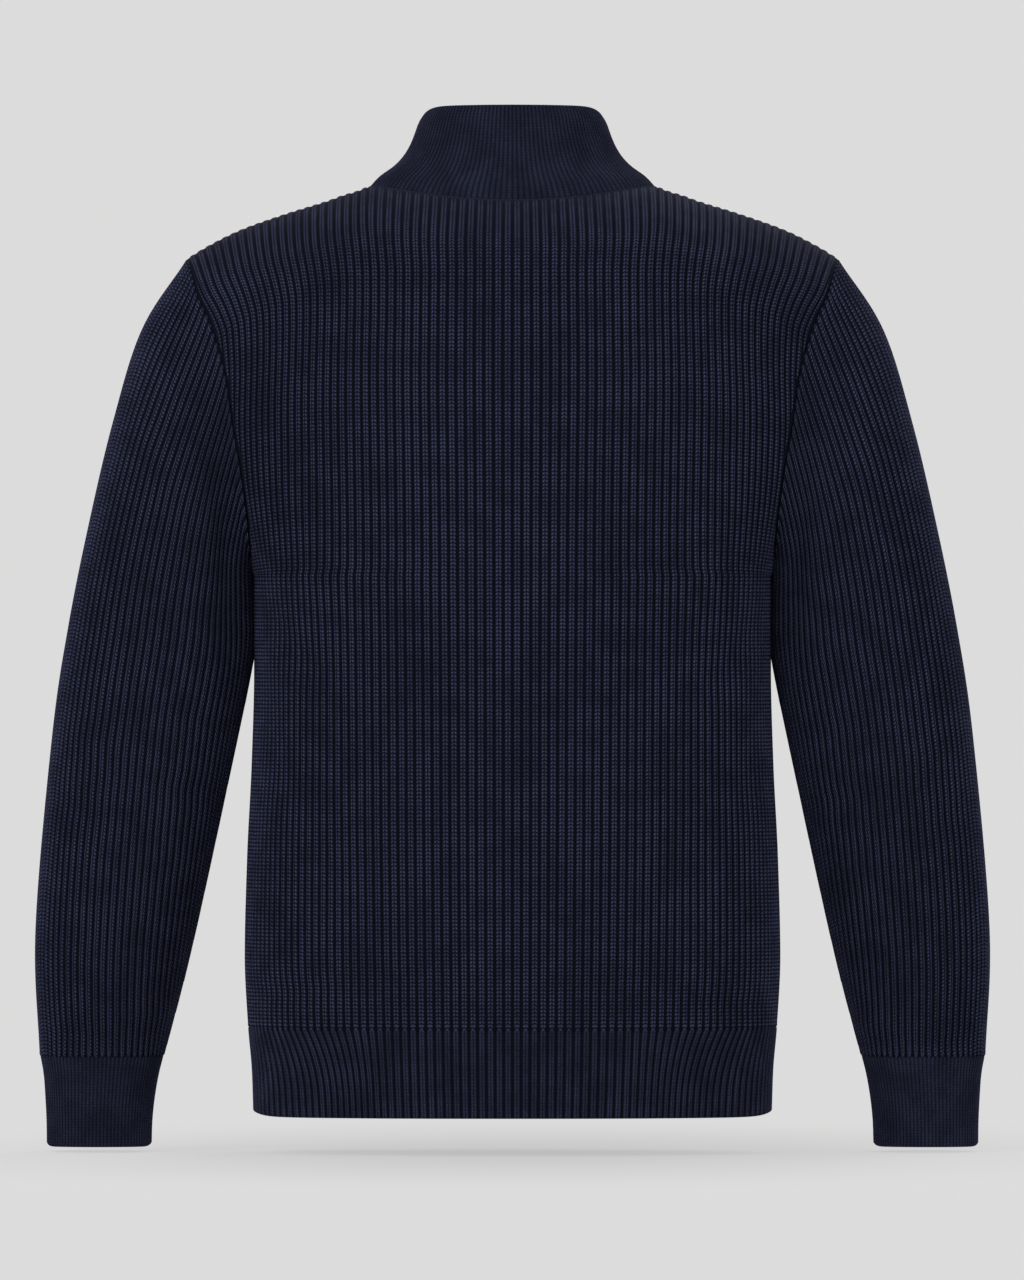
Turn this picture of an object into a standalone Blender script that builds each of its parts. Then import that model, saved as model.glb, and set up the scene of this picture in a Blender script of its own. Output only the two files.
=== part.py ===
"""Zip-up rib sweater with a stand collar, worn shape, held at the shoulders.

Metres, +Z up, the front faces -Y, the wearer's left is +X.  The origin is the middle of the
neck base.  Every panel is a knit wall with raised ribs over a plain inside.
"""
import math

import bpy
import numpy as np

MM = 0.001

# ---- named sizes (mm) ----
WALL = 2.0                # knit thickness in the groove between two ribs
RIB = 1.5                 # height of a body or sleeve rib
HEM_RIB = 1.1             # height of a hem band rib
FINE_RIB = 0.8            # height of a collar or cuff rib
HALF_GAP = 0.16           # each piece stands back this far from a seam
NECK_INSIDE_GAP = 1.2     # the panels' inside edges stand back further at the neckline
BACK_RIBS = 78            # side seam to side seam
FRONT_RIBS = 36           # each front, zip edge to side seam
NECK_RIBS_BACK = 19       # ribs of half the back that end at the neckline
NECK_RIBS_FRONT = 16      # ribs of a front that end at the neckline
SLEEVE_RIBS = 60          # all round a sleeve
CUFF_RIBS = 90            # all round a cuff
COLLAR_RIBS = 120         # zip edge to zip edge
COLUMNS_PER_RIB = 2       # groove, ridge
INSIDE_STEP = 6           # outer columns for each inner one

HEM_BOTTOM = -694.0
HEM_JOIN = -628.0
ARMPIT = -290.0
CHEST_TURN = -111.0       # side height where the panel starts to round over the shoulder
SHOULDER = -51.0          # height of the shoulder point
SHOULDER_X = 244.0
SHOULDER_TURN = 60.0      # radius of the round-over at the shoulder point
NECK_X = 108.0            # half width of the neckline at the shoulder seam
SEAM_ANGLE = 8.0          # the shoulder seam lies this far forward of the ridge (degrees)
BACK_NECK_ANGLE = 27.3    # where the neckline crosses the centre back (degrees)
FRONT_NECK_ANGLE = 66.0   # where the neckline crosses the centre front (degrees)
FRONT_EDGE_X = 10.0       # knit edge beside the zip
SECTION_POWER = 2.4       # how square the body's sections are
DOME_POWER = 0.92         # how the depth falls off along the shoulder
ROUND_MORE_BACK = 5.0     # extra radius of the round-over at the centre back
ROUND_MORE_FRONT = 50.0   # and at the centre front
ARMHOLE_DEPTH = 75.0
ARMHOLE_MID = (SHOULDER + ARMPIT) / 2
ARMHOLE_HALF = (SHOULDER - ARMPIT) / 2
FRONT_SCOOP = 8.0         # the front armhole is cut this much further in

# A row for each level of the torso: height at the side, half width, depth of back and front,
# how square the section's end is, and how much wider the ribs stand at the centre.
TORSO = (
    # height, half, back, front, bend, spread
    (-694.0, 194.6, 112.0, 111.0, 0.417, -0.10),
    (-662.0, 195.6, 115.0, 113.0, 0.417, -0.10),
    (-628.0, 198.4, 119.0, 116.0, 0.417, -0.08),
    (-575.0, 201.0, 122.0, 119.0, 0.417, -0.06),
    (-500.0, 199.2, 121.0, 119.0, 0.417, -0.05),
    (-430.0, 195.8, 121.0, 120.0, 0.417, -0.03),
    (-360.0, 194.0, 124.0, 123.0, 0.417, -0.02),
    (-290.0, 195.0, 129.0, 126.0, 0.417, 0.00),
    (-262.0, 196.6, 130.0, 126.0, 0.600, 0.03),
    (-217.0, 202.0, 130.0, 123.0, 0.800, 0.07),
    (-172.0, 210.0, 128.0, 118.0, 0.900, 0.10),
    (-143.0, 214.0, 125.0, 112.0, 0.920, 0.12),
    (-111.0, 222.5, 121.0, 106.0, 0.920, 0.15),
    (-96.0, 228.0, 121.0, 106.0, 0.920, 0.15),
    (-78.0, 236.0, 121.0, 106.0, 0.920, 0.15),
    (-51.0, 244.0, 121.0, 106.0, 0.920, 0.15),
)
# Height of the shoulder ridge at each distance from the centre.
RIDGE = (
    # x, height
    (0.0, 1.0),
    (60.0, 1.0),
    (108.0, 0.4),
    (117.0, -0.8),
    (129.0, -4.2),
    (137.0, -7.2),
    (170.0, -17.5),
    (205.0, -30.0),
    (230.0, -42.5),
    (244.0, -51.0),
)
# A row for each ring of the left sleeve: its outer and its under point, half depth, middle y.
SLEEVE = (
    # outer x, outer z, under x, under z, depth, middle
    (278.0, -104.0, 195.9, -298.0, 77.0, -2.0),
    (300.0, -174.0, 196.4, -307.0, 74.0, -3.0),
    (318.0, -250.0, 196.6, -322.0, 69.0, -4.0),
    (333.5, -327.0, 196.8, -346.0, 65.0, -6.0),
    (345.7, -409.0, 211.0, -428.0, 61.0, -10.0),
    (358.5, -555.0, 240.0, -567.0, 52.0, -20.0),
    (355.5, -650.0, 261.5, -650.0, 43.0, -28.0),
)
SLEEVE_POWER = 2.2
# The cuff's two ends, in the same columns.
CUFF = (
    (353.6, -650.0, 263.6, -650.0, 41.0, -28.0),
    (350.6, -718.0, 270.8, -718.0, 38.0, -34.0),
)
# The collar's side profile: share of the height, share of the flare that is left.
FLARE = (
    (0.000, 1.000),
    (0.145, 0.821),
    (0.290, 0.555),
    (0.435, 0.379),
    (0.580, 0.266),
    (0.726, 0.186),
    (0.870, 0.115),
    (1.000, 0.000),
)
COLLAR_TOP_X = 66.0
COLLAR_TOP_BACK = 44.0
COLLAR_TOP_FRONT = -80.0
COLLAR_RISE = (71.0, 60.5, 69.0)      # centre back, side, centre front
COLLAR_ROWS = (0.0, 0.32, 1.0)

TORSO_ROWS = (0.0, 0.38, 0.80, 1.0, 1.30, 1.65, 2.0, 2.29, 2.55, 2.80, 3.0)
STEP = 2e-3               # small step in shares or levels, for a slope
MOST_REACH = 1.45         # a wall's depth along a mitred edge is never more than this share
TIP_REACH = 1.1           # and this at the shoulder point

COTTON = ("Navy rib cotton", (0.010, 0.012, 0.024, 1.0), 0.9, 0.0)
TAPE = ("Navy zip tape", (0.008, 0.009, 0.016, 1.0), 0.8, 0.0)
METAL = ("Gunmetal zip", (0.08, 0.08, 0.085, 1.0), 0.4, 1.0)


# ---- small mathematics ----
def smooth(t, table, column):
    """Monotone cubic through one column of a table, over its first column."""
    x = np.array([row[0] for row in table], float)
    y = np.array([row[column] for row in table], float)
    h = np.diff(x)
    d = np.diff(y) / h
    m = np.zeros_like(y)
    both = d[:-1] * d[1:]
    m[1:-1] = np.where(both > 0, 2 * both / (d[:-1] + d[1:] + 1e-12), 0.0)
    m[0], m[-1] = d[0], d[-1]
    t = np.clip(np.asarray(t, float), x[0], x[-1])
    i = np.clip(np.searchsorted(x, t, side="right") - 1, 0, len(h) - 1)
    u = (t - x[i]) / h[i]
    up = u * u * (3 - 2 * u)
    return (1 - up) * y[i] + up * y[i + 1] + h[i] * u * (1 - u) * ((1 - u) * m[i] - u * m[i + 1])


def unit(v):
    return v / np.maximum(np.linalg.norm(v, axis=-1, keepdims=True), 1e-12)


def run_length(points):
    """Distance along a polyline at each of its points."""
    steps = np.linalg.norm(np.diff(points, axis=0), axis=1)
    return np.concatenate([[0.0], np.cumsum(steps)])


def along(points, shares, values=None):
    """Points, or values that go with them, at the given shares of a polyline's length."""
    values = points if values is None else values
    run = run_length(points)
    run = run / run[-1]
    return np.stack([np.interp(shares, run, column) for column in values.T], axis=1)


# ---- the torso's outer surface ----
def edge_depth(height):
    inside = 1 - ((height - ARMHOLE_MID) / ARMHOLE_HALF) ** 2
    return ARMHOLE_DEPTH * np.sqrt(np.maximum(inside, 0.0))


def half_width(height, side):
    """Half width at the side seam or armhole seam; side is 1 for the back, -1 for the front."""
    width = smooth(height, TORSO, 1)
    share = np.clip((height - ARMPIT) / (SHOULDER - ARMPIT), 0.0, 1.0)
    scoop = FRONT_SCOOP * np.sin(math.pi * share) ** 2
    return width - np.where(np.asarray(side) < 0, scoop, 0.0)


def turn_radius(x, side):
    share = 1 - np.clip(np.abs(x) / SHOULDER_X, 0, 1) ** 2
    return SHOULDER_TURN + np.where(np.asarray(side) < 0, ROUND_MORE_FRONT, ROUND_MORE_BACK) * share


def over_shoulder(x, angle):
    """Point of the rounded shoulder; the angle runs from 90 (back) over 0 (ridge) to -90 (front)."""
    side = np.where(angle < 0, -1.0, 1.0)
    turn = np.radians(np.abs(angle))
    side_z = SHOULDER - SHOULDER_TURN * (1 - np.cos(turn))
    width = half_width(side_z, side)
    full = np.where(side > 0, smooth(side_z, TORSO, 2), smooth(side_z, TORSO, 3))
    edge = edge_depth(side_z)
    fall = np.maximum(1 - np.clip(np.abs(x) / width, 0, 1) ** SECTION_POWER, 0)
    shape = fall**DOME_POWER
    y = side * (edge + (full * np.sin(turn) - edge) * shape)
    z = smooth(np.abs(x), RIDGE, 1) - turn_radius(x, side) * (1 - np.cos(turn))
    return np.stack([x + 0 * y, y, z], axis=-1)


def neck_angle(x, side):
    """Angle over the shoulder where a panel ends: at the neckline, or at the shoulder seam."""
    bow = np.sqrt(np.maximum(1 - np.clip(np.abs(x) / NECK_X, 0, 1) ** 2, 0))
    if side > 0:
        return -SEAM_ANGLE + (BACK_NECK_ANGLE + SEAM_ANGLE) * bow
    return -SEAM_ANGLE - (FRONT_NECK_ANGLE - SEAM_ANGLE) * bow


def neck_line(side, start):
    """Fine polyline of half the neckline, centre to shoulder seam: x, angle, and the point."""
    a = np.linspace(math.asin(start / NECK_X), math.pi / 2, 241)
    x = NECK_X * np.sin(a)
    angle = neck_angle(x, side)
    return x, angle, over_shoulder(x, angle)


def half_neckline():
    """Half the neckline, zip edge to centre back: x, angle over the shoulder, and the point."""
    front = neck_line(-1, FRONT_EDGE_X)
    back = neck_line(1, 0.0)
    return [np.concatenate([f, b[::-1][1:]]) for f, b in zip(front, back)]


def top_x(shares, side):
    """Where each column meets the panel's top edge."""
    start = 0.0 if side > 0 else FRONT_EDGE_X
    corner = NECK_RIBS_BACK / (BACK_RIBS / 2) if side > 0 else NECK_RIBS_FRONT / FRONT_RIBS
    x, _, points = neck_line(side, start)
    run = run_length(points)
    neck = np.interp(np.minimum(shares / corner, 1.0), run / run[-1], x)
    shoulder = NECK_X + (SHOULDER_X - NECK_X) * (shares - corner) / (1 - corner)
    return np.where(shares <= corner + 1e-9, neck, shoulder)


def side_height(level):
    """Level 0 is the hem join, 1 the armpit, 2 where the shoulder starts to turn."""
    if level <= 1:
        return HEM_JOIN + (ARMPIT - HEM_JOIN) * level
    return ARMPIT + (CHEST_TURN - ARMPIT) * (level - 1)


def spaced(height, shares, side):
    """Distance from the centre of each column in a level section, evenly along the knit."""
    start = 0.0 if side > 0 else FRONT_EDGE_X
    width = float(half_width(height, side))
    depth = float(smooth(height, TORSO, 2 if side > 0 else 3))
    bend = float(smooth(height, TORSO, 4))
    edge = float(edge_depth(height)) if height > ARMPIT else 0.0
    x = start + (width - start) * np.sin(np.linspace(0, math.pi / 2, 401))
    y = edge + (depth - edge) * np.maximum(1 - (x / width) ** SECTION_POWER, 0) ** bend
    run = np.concatenate([[0.0], np.cumsum(np.hypot(np.diff(x), np.diff(y)))])
    spread = float(smooth(height, TORSO, 5))
    share = shares * (1 + spread) - spread * shares**3
    return np.interp(share, run / run[-1], x)


def torso(level, shares, side):
    """Outer surface of a panel: shares run from the centre to the side, x is positive."""
    if level <= 2:
        height = side_height(level)
        x = spaced(height, shares, side)
        width = float(half_width(height, side))
        depth = float(smooth(height, TORSO, 2 if side > 0 else 3))
        bend = float(smooth(height, TORSO, 4))
        edge = float(edge_depth(height)) if height > ARMPIT else 0.0
        shape = np.maximum(1 - np.clip(x / width, 0, 1) ** SECTION_POWER, 0) ** bend
        y = side * (edge + (depth - edge) * shape)
        lift = max(level - 1, 0.0)
        turned = smooth(x, RIDGE, 1) - turn_radius(x, side) - CHEST_TURN
        edge_turned = smooth(width, RIDGE, 1) - turn_radius(width, side) - CHEST_TURN
        z = height + lift * (turned - edge_turned * (x / width) ** 4)
        return np.stack([x, y, z], axis=1)
    over = level - 2
    turn = math.radians(90 - (90 + SEAM_ANGLE) * over)
    width = half_width(SHOULDER - SHOULDER_TURN * (1 - math.cos(turn)), side)
    base = spaced(CHEST_TURN, shares, side)
    low = float(half_width(CHEST_TURN, side))
    start = 0.0 if side > 0 else FRONT_EDGE_X
    high = top_x(shares, side)
    mix = (1 - over) * (base - start) / (low - start) + over * (high - start) / (SHOULDER_X - start)
    x = start + (float(width) - start) * mix
    end = neck_angle(high, side)
    angle = side * 90 + (end - side * 90) * over
    points = over_shoulder(x, angle)
    lost = smooth(low, RIDGE, 1) - turn_radius(low, side) - CHEST_TURN
    points[:, 2] -= (1 - over) ** 2 * lost * (x / low) ** 4
    return points


def torso_normals(level, shares, side):
    """Outward unit normals of a panel, by small steps along and across it."""
    a = np.clip(shares - STEP, 0, 1)
    b = np.clip(shares + STEP, 0, 1)
    across = torso(level, b, side) - torso(level, a, side)
    low, high = level - STEP, min(level + STEP, 3.0)
    if abs(level - 1) < 1e-9:
        high = level
    up = torso(high, shares, side) - torso(low, shares, side)
    return unit(np.cross(across, up)) * (-1.0 if side > 0 else 1.0)


# ---- the collar ----
def collar(shares, rise):
    """Outer surface of the collar's left half: shares run from the zip edge to centre back."""
    base = along(half_neckline()[2], shares)
    middle = (COLLAR_TOP_BACK + COLLAR_TOP_FRONT) / 2
    half = (COLLAR_TOP_BACK - COLLAR_TOP_FRONT) / 2
    first = math.asin(FRONT_EDGE_X / COLLAR_TOP_X)
    a = np.linspace(first, math.pi, 361)
    ring = np.stack([COLLAR_TOP_X * np.sin(a), middle - half * np.cos(a)], axis=1)
    top = along(ring, shares)
    back_rise, side_rise, front_rise = COLLAR_RISE
    lift = np.where(
        shares > 0.5,
        side_rise + (back_rise - side_rise) * np.sin(math.pi * (np.clip(shares, 0.5, 1) - 0.5)) ** 2,
        side_rise + (front_rise - side_rise) * np.cos(math.pi * np.clip(shares, 0, 0.5)) ** 2,
    )
    left = smooth(np.full(len(shares), rise), FLARE, 1)[:, None]
    xy = top + left * (base[:, :2] - top)
    return np.column_stack([xy, base[:, 2] + rise * lift])


def collar_normals(shares, rise):
    before, after = np.clip(shares - STEP, 0, 1), np.clip(shares + STEP, 0, 1)
    across = collar(after, rise) - collar(before, rise)
    up = collar(shares, min(rise + STEP, 1.0)) - collar(shares, max(rise - STEP, 0.0))
    return unit(np.cross(across, up))


def neck_seam(shares):
    """At shares of the neckline (zip edge to centre back): the shared edge direction, how much
    further each wall reaches along it, and the way from the body to the collar."""
    x, angle, points = half_neckline()
    step = 0.4
    wide = over_shoulder(x + step, angle) - over_shoulder(x - step, angle)
    over = over_shoulder(x, angle + step) - over_shoulder(x, angle - step)
    body = along(points, shares, unit(np.cross(wide, over)))
    total = unit(body) + collar_normals(shares, 0.0)
    reach = np.minimum(2 / np.linalg.norm(total, axis=1), MOST_REACH)
    shared = unit(total)
    before, after = np.clip(shares - STEP, 0, 1), np.clip(shares + STEP, 0, 1)
    run = unit(collar(after, 0.0) - collar(before, 0.0))
    way = unit(np.cross(shared, run))
    up = collar(shares, 0.05) - collar(shares, 0.0)
    way = way * np.where((way * up).sum(1) < 0, -1.0, 1.0)[:, None]
    return shared, reach, way


def neck_share(side, column_shares):
    """Share of the whole half neckline for the columns of a panel that end on it."""
    front_length = run_length(neck_line(-1, FRONT_EDGE_X)[2])[-1]
    back_length = run_length(neck_line(1, 0.0)[2])[-1]
    split = front_length / (front_length + back_length)
    if side > 0:
        return 1 - (1 - split) * column_shares
    return split * column_shares


# ---- the left sleeve ----
def ring_points(row, shares):
    """Ring from the under point over the back to the outer point and back by the front."""
    outer_x, outer_z, under_x, under_z, depth, middle = row
    a = np.linspace(0, math.pi, 241)
    c = np.cos(a)
    out = -np.sign(c) * np.abs(c) ** (2 / SLEEVE_POWER)
    deep = np.sin(a) ** (2 / SLEEVE_POWER)
    centre = np.array([(outer_x + under_x) / 2, middle, (outer_z + under_z) / 2])
    reach = np.array([(outer_x - under_x) / 2, 0.0, (outer_z - under_z) / 2])
    back = centre + out[:, None] * reach + deep[:, None] * np.array([0.0, depth, 0.0])
    front = centre + out[:, None] * reach - deep[:, None] * np.array([0.0, depth, 0.0])
    first = along(back, np.clip(shares * 2, 0, 1))
    second = along(front, np.clip(2 - shares * 2, 0, 1))
    return np.where((shares <= 0.5)[:, None], first, second)


def armhole(levels, side):
    one = np.ones(1)
    return np.concatenate([torso(level, one, side) for level in levels])


ARM_LEVELS = tuple(level for level in TORSO_ROWS if level >= 1)
ARM_BACK = armhole(ARM_LEVELS, 1)
ARM_FRONT = armhole(ARM_LEVELS, -1)


def sleeve_head(shares):
    """The sleeve's first ring lies on the armhole edges of back and front."""
    first = along(ARM_BACK, np.clip(shares * 2, 0, 1))
    second = along(ARM_FRONT, np.clip(2 - shares * 2, 0, 1))
    return np.where((shares <= 0.5)[:, None], first, second)


def sleeve_rings(shares):
    return np.stack([sleeve_head(shares)] + [ring_points(row, shares) for row in SLEEVE])


def ring_normals(rings):
    """Outward normals of a net of closed rings that run under, back, outer, front."""
    across = np.roll(rings, -1, axis=1) - np.roll(rings, 1, axis=1)
    down = np.empty_like(rings)
    down[1:-1] = unit(rings[2:] - rings[1:-1]) + unit(rings[1:-1] - rings[:-2])
    down[0] = rings[1] - rings[0]
    down[-1] = rings[-1] - rings[-2]
    return unit(np.cross(across, down))


def arm_seam():
    """At each armhole level, back then front: shared direction, reach, and way to the sleeve."""
    found = {}
    fine = np.linspace(0, 1, 241)
    normals = ring_normals(sleeve_rings(fine[:-1]))[0]
    closed = np.concatenate([normals, normals[:1]])
    inside = np.array([1 - 2 * STEP])
    for side, edge in ((1, ARM_BACK), (-1, ARM_FRONT)):
        run = run_length(edge)
        run = run / run[-1]
        shares = run / 2 if side > 0 else 1 - run / 2
        sleeve = unit(np.stack([np.interp(shares, fine, column) for column in closed.T], axis=1))
        body = np.concatenate([torso_normals(level, inside, side) for level in ARM_LEVELS])
        total = body + sleeve
        total[0] = (0.0, 0.0, -1.2)
        reach = np.minimum(2 / np.linalg.norm(total, axis=1), MOST_REACH)
        shared = unit(total)
        run_way = np.empty_like(edge)
        run_way[1:-1] = unit(edge[2:] - edge[1:-1]) + unit(edge[1:-1] - edge[:-2])
        run_way[0] = (0.0, side, 0.0)
        run_way[-1] = (0.0, -side, 0.0)
        way = unit(np.cross(unit(run_way), shared))
        way = way * np.where(way[:, :1] < 0, -1.0, 1.0)
        found[side] = (shared, reach, way, shares)
    both = (found[1][0][-1] + found[-1][0][-1]) / 2
    way = (found[1][2][-1] + found[-1][2][-1]) / 2
    for side in (1, -1):
        found[side][0][-1] = unit(both)
        found[side][2][-1] = unit(way)
        found[side][1][-1] = TIP_REACH
        found[side][0][0] = (0.0, 0.0, -1.0)
        found[side][2][0] = (1.0, 0.0, 0.0)
    return found


ARM_SEAM = arm_seam()


# ---- walls ----
def stitch(outer, inner, step, closed):
    """Triangles of a wall: a fine outer net, a coarse inner net, joined round their edges."""
    rows, columns = outer.shape[:2]
    coarse = inner.shape[1]
    base = rows * columns
    spans = columns if closed else columns - 1
    faces = []
    for r in range(rows - 1):
        for c in range(spans):
            d = (c + 1) % columns
            p, q = r * columns + c, r * columns + d
            s, t = (r + 1) * columns + d, (r + 1) * columns + c
            faces += [(p, q, s), (p, s, t)]
        for k in range(coarse if closed else coarse - 1):
            m = (k + 1) % coarse
            p, q = base + r * coarse + k, base + r * coarse + m
            s, t = base + (r + 1) * coarse + m, base + (r + 1) * coarse + k
            faces += [(p, s, q), (p, t, s)]
    for r, flip in ((0, False), (rows - 1, True)):
        for k in range(coarse if closed else coarse - 1):
            near, far = base + r * coarse + k, base + r * coarse + (k + 1) % coarse
            middle = step // 2
            fans = []
            for c in range(step):
                p = r * columns + (k * step + c) % columns
                q = r * columns + (k * step + c + 1) % columns
                fans.append((q, p, near if c < middle else far))
            fans.append((r * columns + (k * step + middle) % columns, near, far))
            faces += [f[::-1] for f in fans] if flip else fans
    if not closed:
        for r in range(rows - 1):
            p, q = r * columns, (r + 1) * columns
            s, t = base + (r + 1) * coarse, base + r * coarse
            faces += [(p, q, s), (p, s, t)]
            p, q = (r + 1) * columns + columns - 1, r * columns + columns - 1
            s, t = base + r * coarse + coarse - 1, base + (r + 1) * coarse + coarse - 1
            faces += [(p, q, s), (p, s, t)]
    return faces


def volume(points, faces):
    f = np.array(faces)
    a, b, c = points[f[:, 0]], points[f[:, 1]], points[f[:, 2]]
    return float((a * np.cross(b, c)).sum() / 6)


def material(look):
    name, colour, rough, metal = look
    made = bpy.data.materials.get(name)
    if made is None:
        made = bpy.data.materials.new(name)
        made.use_nodes = True
        node = made.node_tree.nodes["Principled BSDF"]
        node.inputs["Base Color"].default_value = colour
        node.inputs["Roughness"].default_value = rough
        node.inputs["Metallic"].default_value = metal
    return made


def solid(name, points, faces, look):
    """One closed body from points in millimetres, turned to face outward."""
    points = np.asarray(points, float)
    if volume(points, faces) < 0:
        faces = [f[::-1] for f in faces]
    mesh = bpy.data.meshes.new(name)
    mesh.from_pydata((points * MM).tolist(), [], [tuple(int(i) for i in f) for f in faces])
    mesh.validate()
    mesh.update()
    body = bpy.data.objects.new(name, mesh)
    bpy.context.scene.collection.objects.link(body)
    body.data.materials.append(material(look))
    print(name, len(faces), "triangles", round(volume(points, faces) / 1000, 1), "cm3")
    return len(faces)


def wall(name, points, normals, reach, shift, rib, closed, inner_shift=0.0):
    """A ribbed knit wall inward from its outer surface; odd columns are ridges."""
    lift = np.where(np.arange(points.shape[1]) % 2 == 1, 0.0, -rib)[None, :, None]
    outer = points + normals * lift * reach[..., None] + shift
    skip = slice(None, None, INSIDE_STEP)
    depth = (WALL + rib) * reach[:, skip, None]
    inner = points[:, skip] - normals[:, skip] * depth + (shift + inner_shift)[:, skip]
    faces = stitch(outer, inner, INSIDE_STEP, closed)
    every = np.concatenate([outer.reshape(-1, 3), inner.reshape(-1, 3)])
    return solid(name, every, faces, COTTON), every, faces


def mirrored(points):
    return points * np.array([-1.0, 1.0, 1.0])


# ---- body panels ----
def half_panel(side, ribs, neck_ribs):
    """Surface, normals, reach and seam shifts of one half of a panel, x positive."""
    columns = ribs * COLUMNS_PER_RIB
    shares = np.linspace(0, 1, columns + 1)
    points = np.stack([torso(level, shares, side) for level in TORSO_ROWS])
    normals = np.stack([torso_normals(level, shares, side) for level in TORSO_ROWS])
    reach = np.ones(points.shape[:2])
    shift = np.zeros_like(points)
    for i, level in enumerate(TORSO_ROWS):
        if level < 1:
            normals[i, -1] = (1.0, 0.0, 0.0)
        shift[i, -1] += (0.0, side * HALF_GAP, 0.0) if level <= 1 else (0.0, 0.0, 0.0)
    shared, stretch, way, _ = ARM_SEAM[side]
    first = len(TORSO_ROWS) - len(ARM_LEVELS)
    normals[first:, -1] = shared
    reach[first:, -1] = stretch
    shift[first:, -1] -= way * HALF_GAP
    shift[0, :, 2] += HALF_GAP
    shift[-1, :, 1] += side * HALF_GAP
    corner = neck_ribs * COLUMNS_PER_RIB
    on_neck = neck_share(side, np.clip(shares[: corner + 1] * columns / corner, 0, 1))
    shared, stretch, way = neck_seam(on_neck)
    normals[-1, : corner + 1] = shared
    reach[-1, : corner + 1] = stretch
    shift[-1, :corner, 1] = 0.0
    shift[-1, : corner + 1] -= way * HALF_GAP
    inner_shift = np.zeros_like(points)
    inner_shift[-1, : corner + 1] -= way * NECK_INSIDE_GAP
    return points, normals, reach, shift, inner_shift


def whole(left):
    """Joins a left half that starts at the centre to its mirror image."""
    right = mirrored(left[:, :0:-1])
    return np.concatenate([right, left], axis=1)


def build_body():
    points, normals, reach, shift, inside = half_panel(1, BACK_RIBS // 2, NECK_RIBS_BACK)
    full_reach = np.concatenate([reach[:, :0:-1], reach], axis=1)
    net = (whole(points), whole(normals), full_reach, whole(shift))
    count = wall("back", *net, RIB, False, whole(inside))[0]
    *net, inside = half_panel(-1, FRONT_RIBS, NECK_RIBS_FRONT)
    made, every, faces = wall("front_left", *net, RIB, False, inside)
    return count + made + solid("front_right", mirrored(every), faces, COTTON)


def band_half(height, side, ribs):
    level = (height - HEM_JOIN) / (ARMPIT - HEM_JOIN)
    shares = np.linspace(0, 1, ribs * COLUMNS_PER_RIB + 1)
    normals = torso_normals(level, shares, side)
    normals[-1] = (1.0, 0.0, 0.0)
    return torso(level, shares, side), normals


def build_hem():
    points, normals = [], []
    for height in (HEM_BOTTOM, HEM_JOIN):
        back, back_normals = band_half(height, 1, BACK_RIBS // 2)
        front, front_normals = band_half(height, -1, FRONT_RIBS)
        row = np.concatenate([front, back[::-1][1:]])
        facing = np.concatenate([front_normals, back_normals[::-1][1:]])
        points.append(np.concatenate([row, mirrored(row[:-1][::-1])]))
        normals.append(np.concatenate([facing, mirrored(facing[:-1][::-1])]))
    points, normals = np.stack(points), np.stack(normals)
    shift = np.zeros_like(points)
    shift[1, :, 2] -= HALF_GAP
    return wall("hem_band", points, normals, np.ones(points.shape[:2]), shift, HEM_RIB, False)[0]


def build_collar():
    half = COLLAR_RIBS * COLUMNS_PER_RIB // 2
    shares = np.linspace(0, 1, half + 1)
    points = np.stack([collar(shares, rise) for rise in COLLAR_ROWS])
    normals = np.stack([collar_normals(shares, rise) for rise in COLLAR_ROWS])
    reach = np.ones(points.shape[:2])
    shift = np.zeros_like(points)
    shared, stretch, way = neck_seam(shares)
    normals[0], reach[0] = shared, stretch
    shift[0] += way * HALF_GAP

    def full(left, flip):
        right = left[:, :-1][:, ::-1]
        return np.concatenate([left, mirrored(right) if flip else right], axis=1)

    return wall(
        "collar",
        full(points, True),
        full(normals, True),
        full(reach, False),
        full(shift, True),
        FINE_RIB,
        False,
    )[0]


# ---- sleeves and cuffs ----
def build_sleeves():
    columns = SLEEVE_RIBS * COLUMNS_PER_RIB
    shares = np.arange(columns) / columns
    points = sleeve_rings(shares)
    normals = ring_normals(points)
    reach = np.ones(points.shape[:2])
    shift = np.zeros_like(points)
    back, front = ARM_SEAM[1], ARM_SEAM[-1]
    at = np.concatenate([back[3], front[3][:-1][::-1]])
    for k in range(3):
        shared = np.concatenate([back[0][:, k], front[0][:-1, k][::-1]])
        way = np.concatenate([back[2][:, k], front[2][:-1, k][::-1]])
        normals[0, :, k] = np.interp(shares, at, shared)
        shift[0, :, k] += np.interp(shares, at, way) * HALF_GAP
    reach[0] = np.interp(shares, at, np.concatenate([back[1], front[1][:-1][::-1]]))
    shift[-1, :, 2] += HALF_GAP
    made, every, faces = wall("sleeve_left", points, normals, reach, shift, RIB, True)
    count = made + solid("sleeve_right", mirrored(every), faces, COTTON)
    columns = CUFF_RIBS * COLUMNS_PER_RIB
    shares = np.arange(columns) / columns
    points = np.stack([ring_points(row, shares) for row in CUFF])
    normals = ring_normals(points)
    shift = np.zeros_like(points)
    shift[0, :, 2] -= HALF_GAP
    still = np.ones(points.shape[:2])
    made, every, faces = wall("cuff_left", points, normals, still, shift, FINE_RIB, True)
    return count + made + solid("cuff_right", mirrored(every), faces, COTTON)


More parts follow.
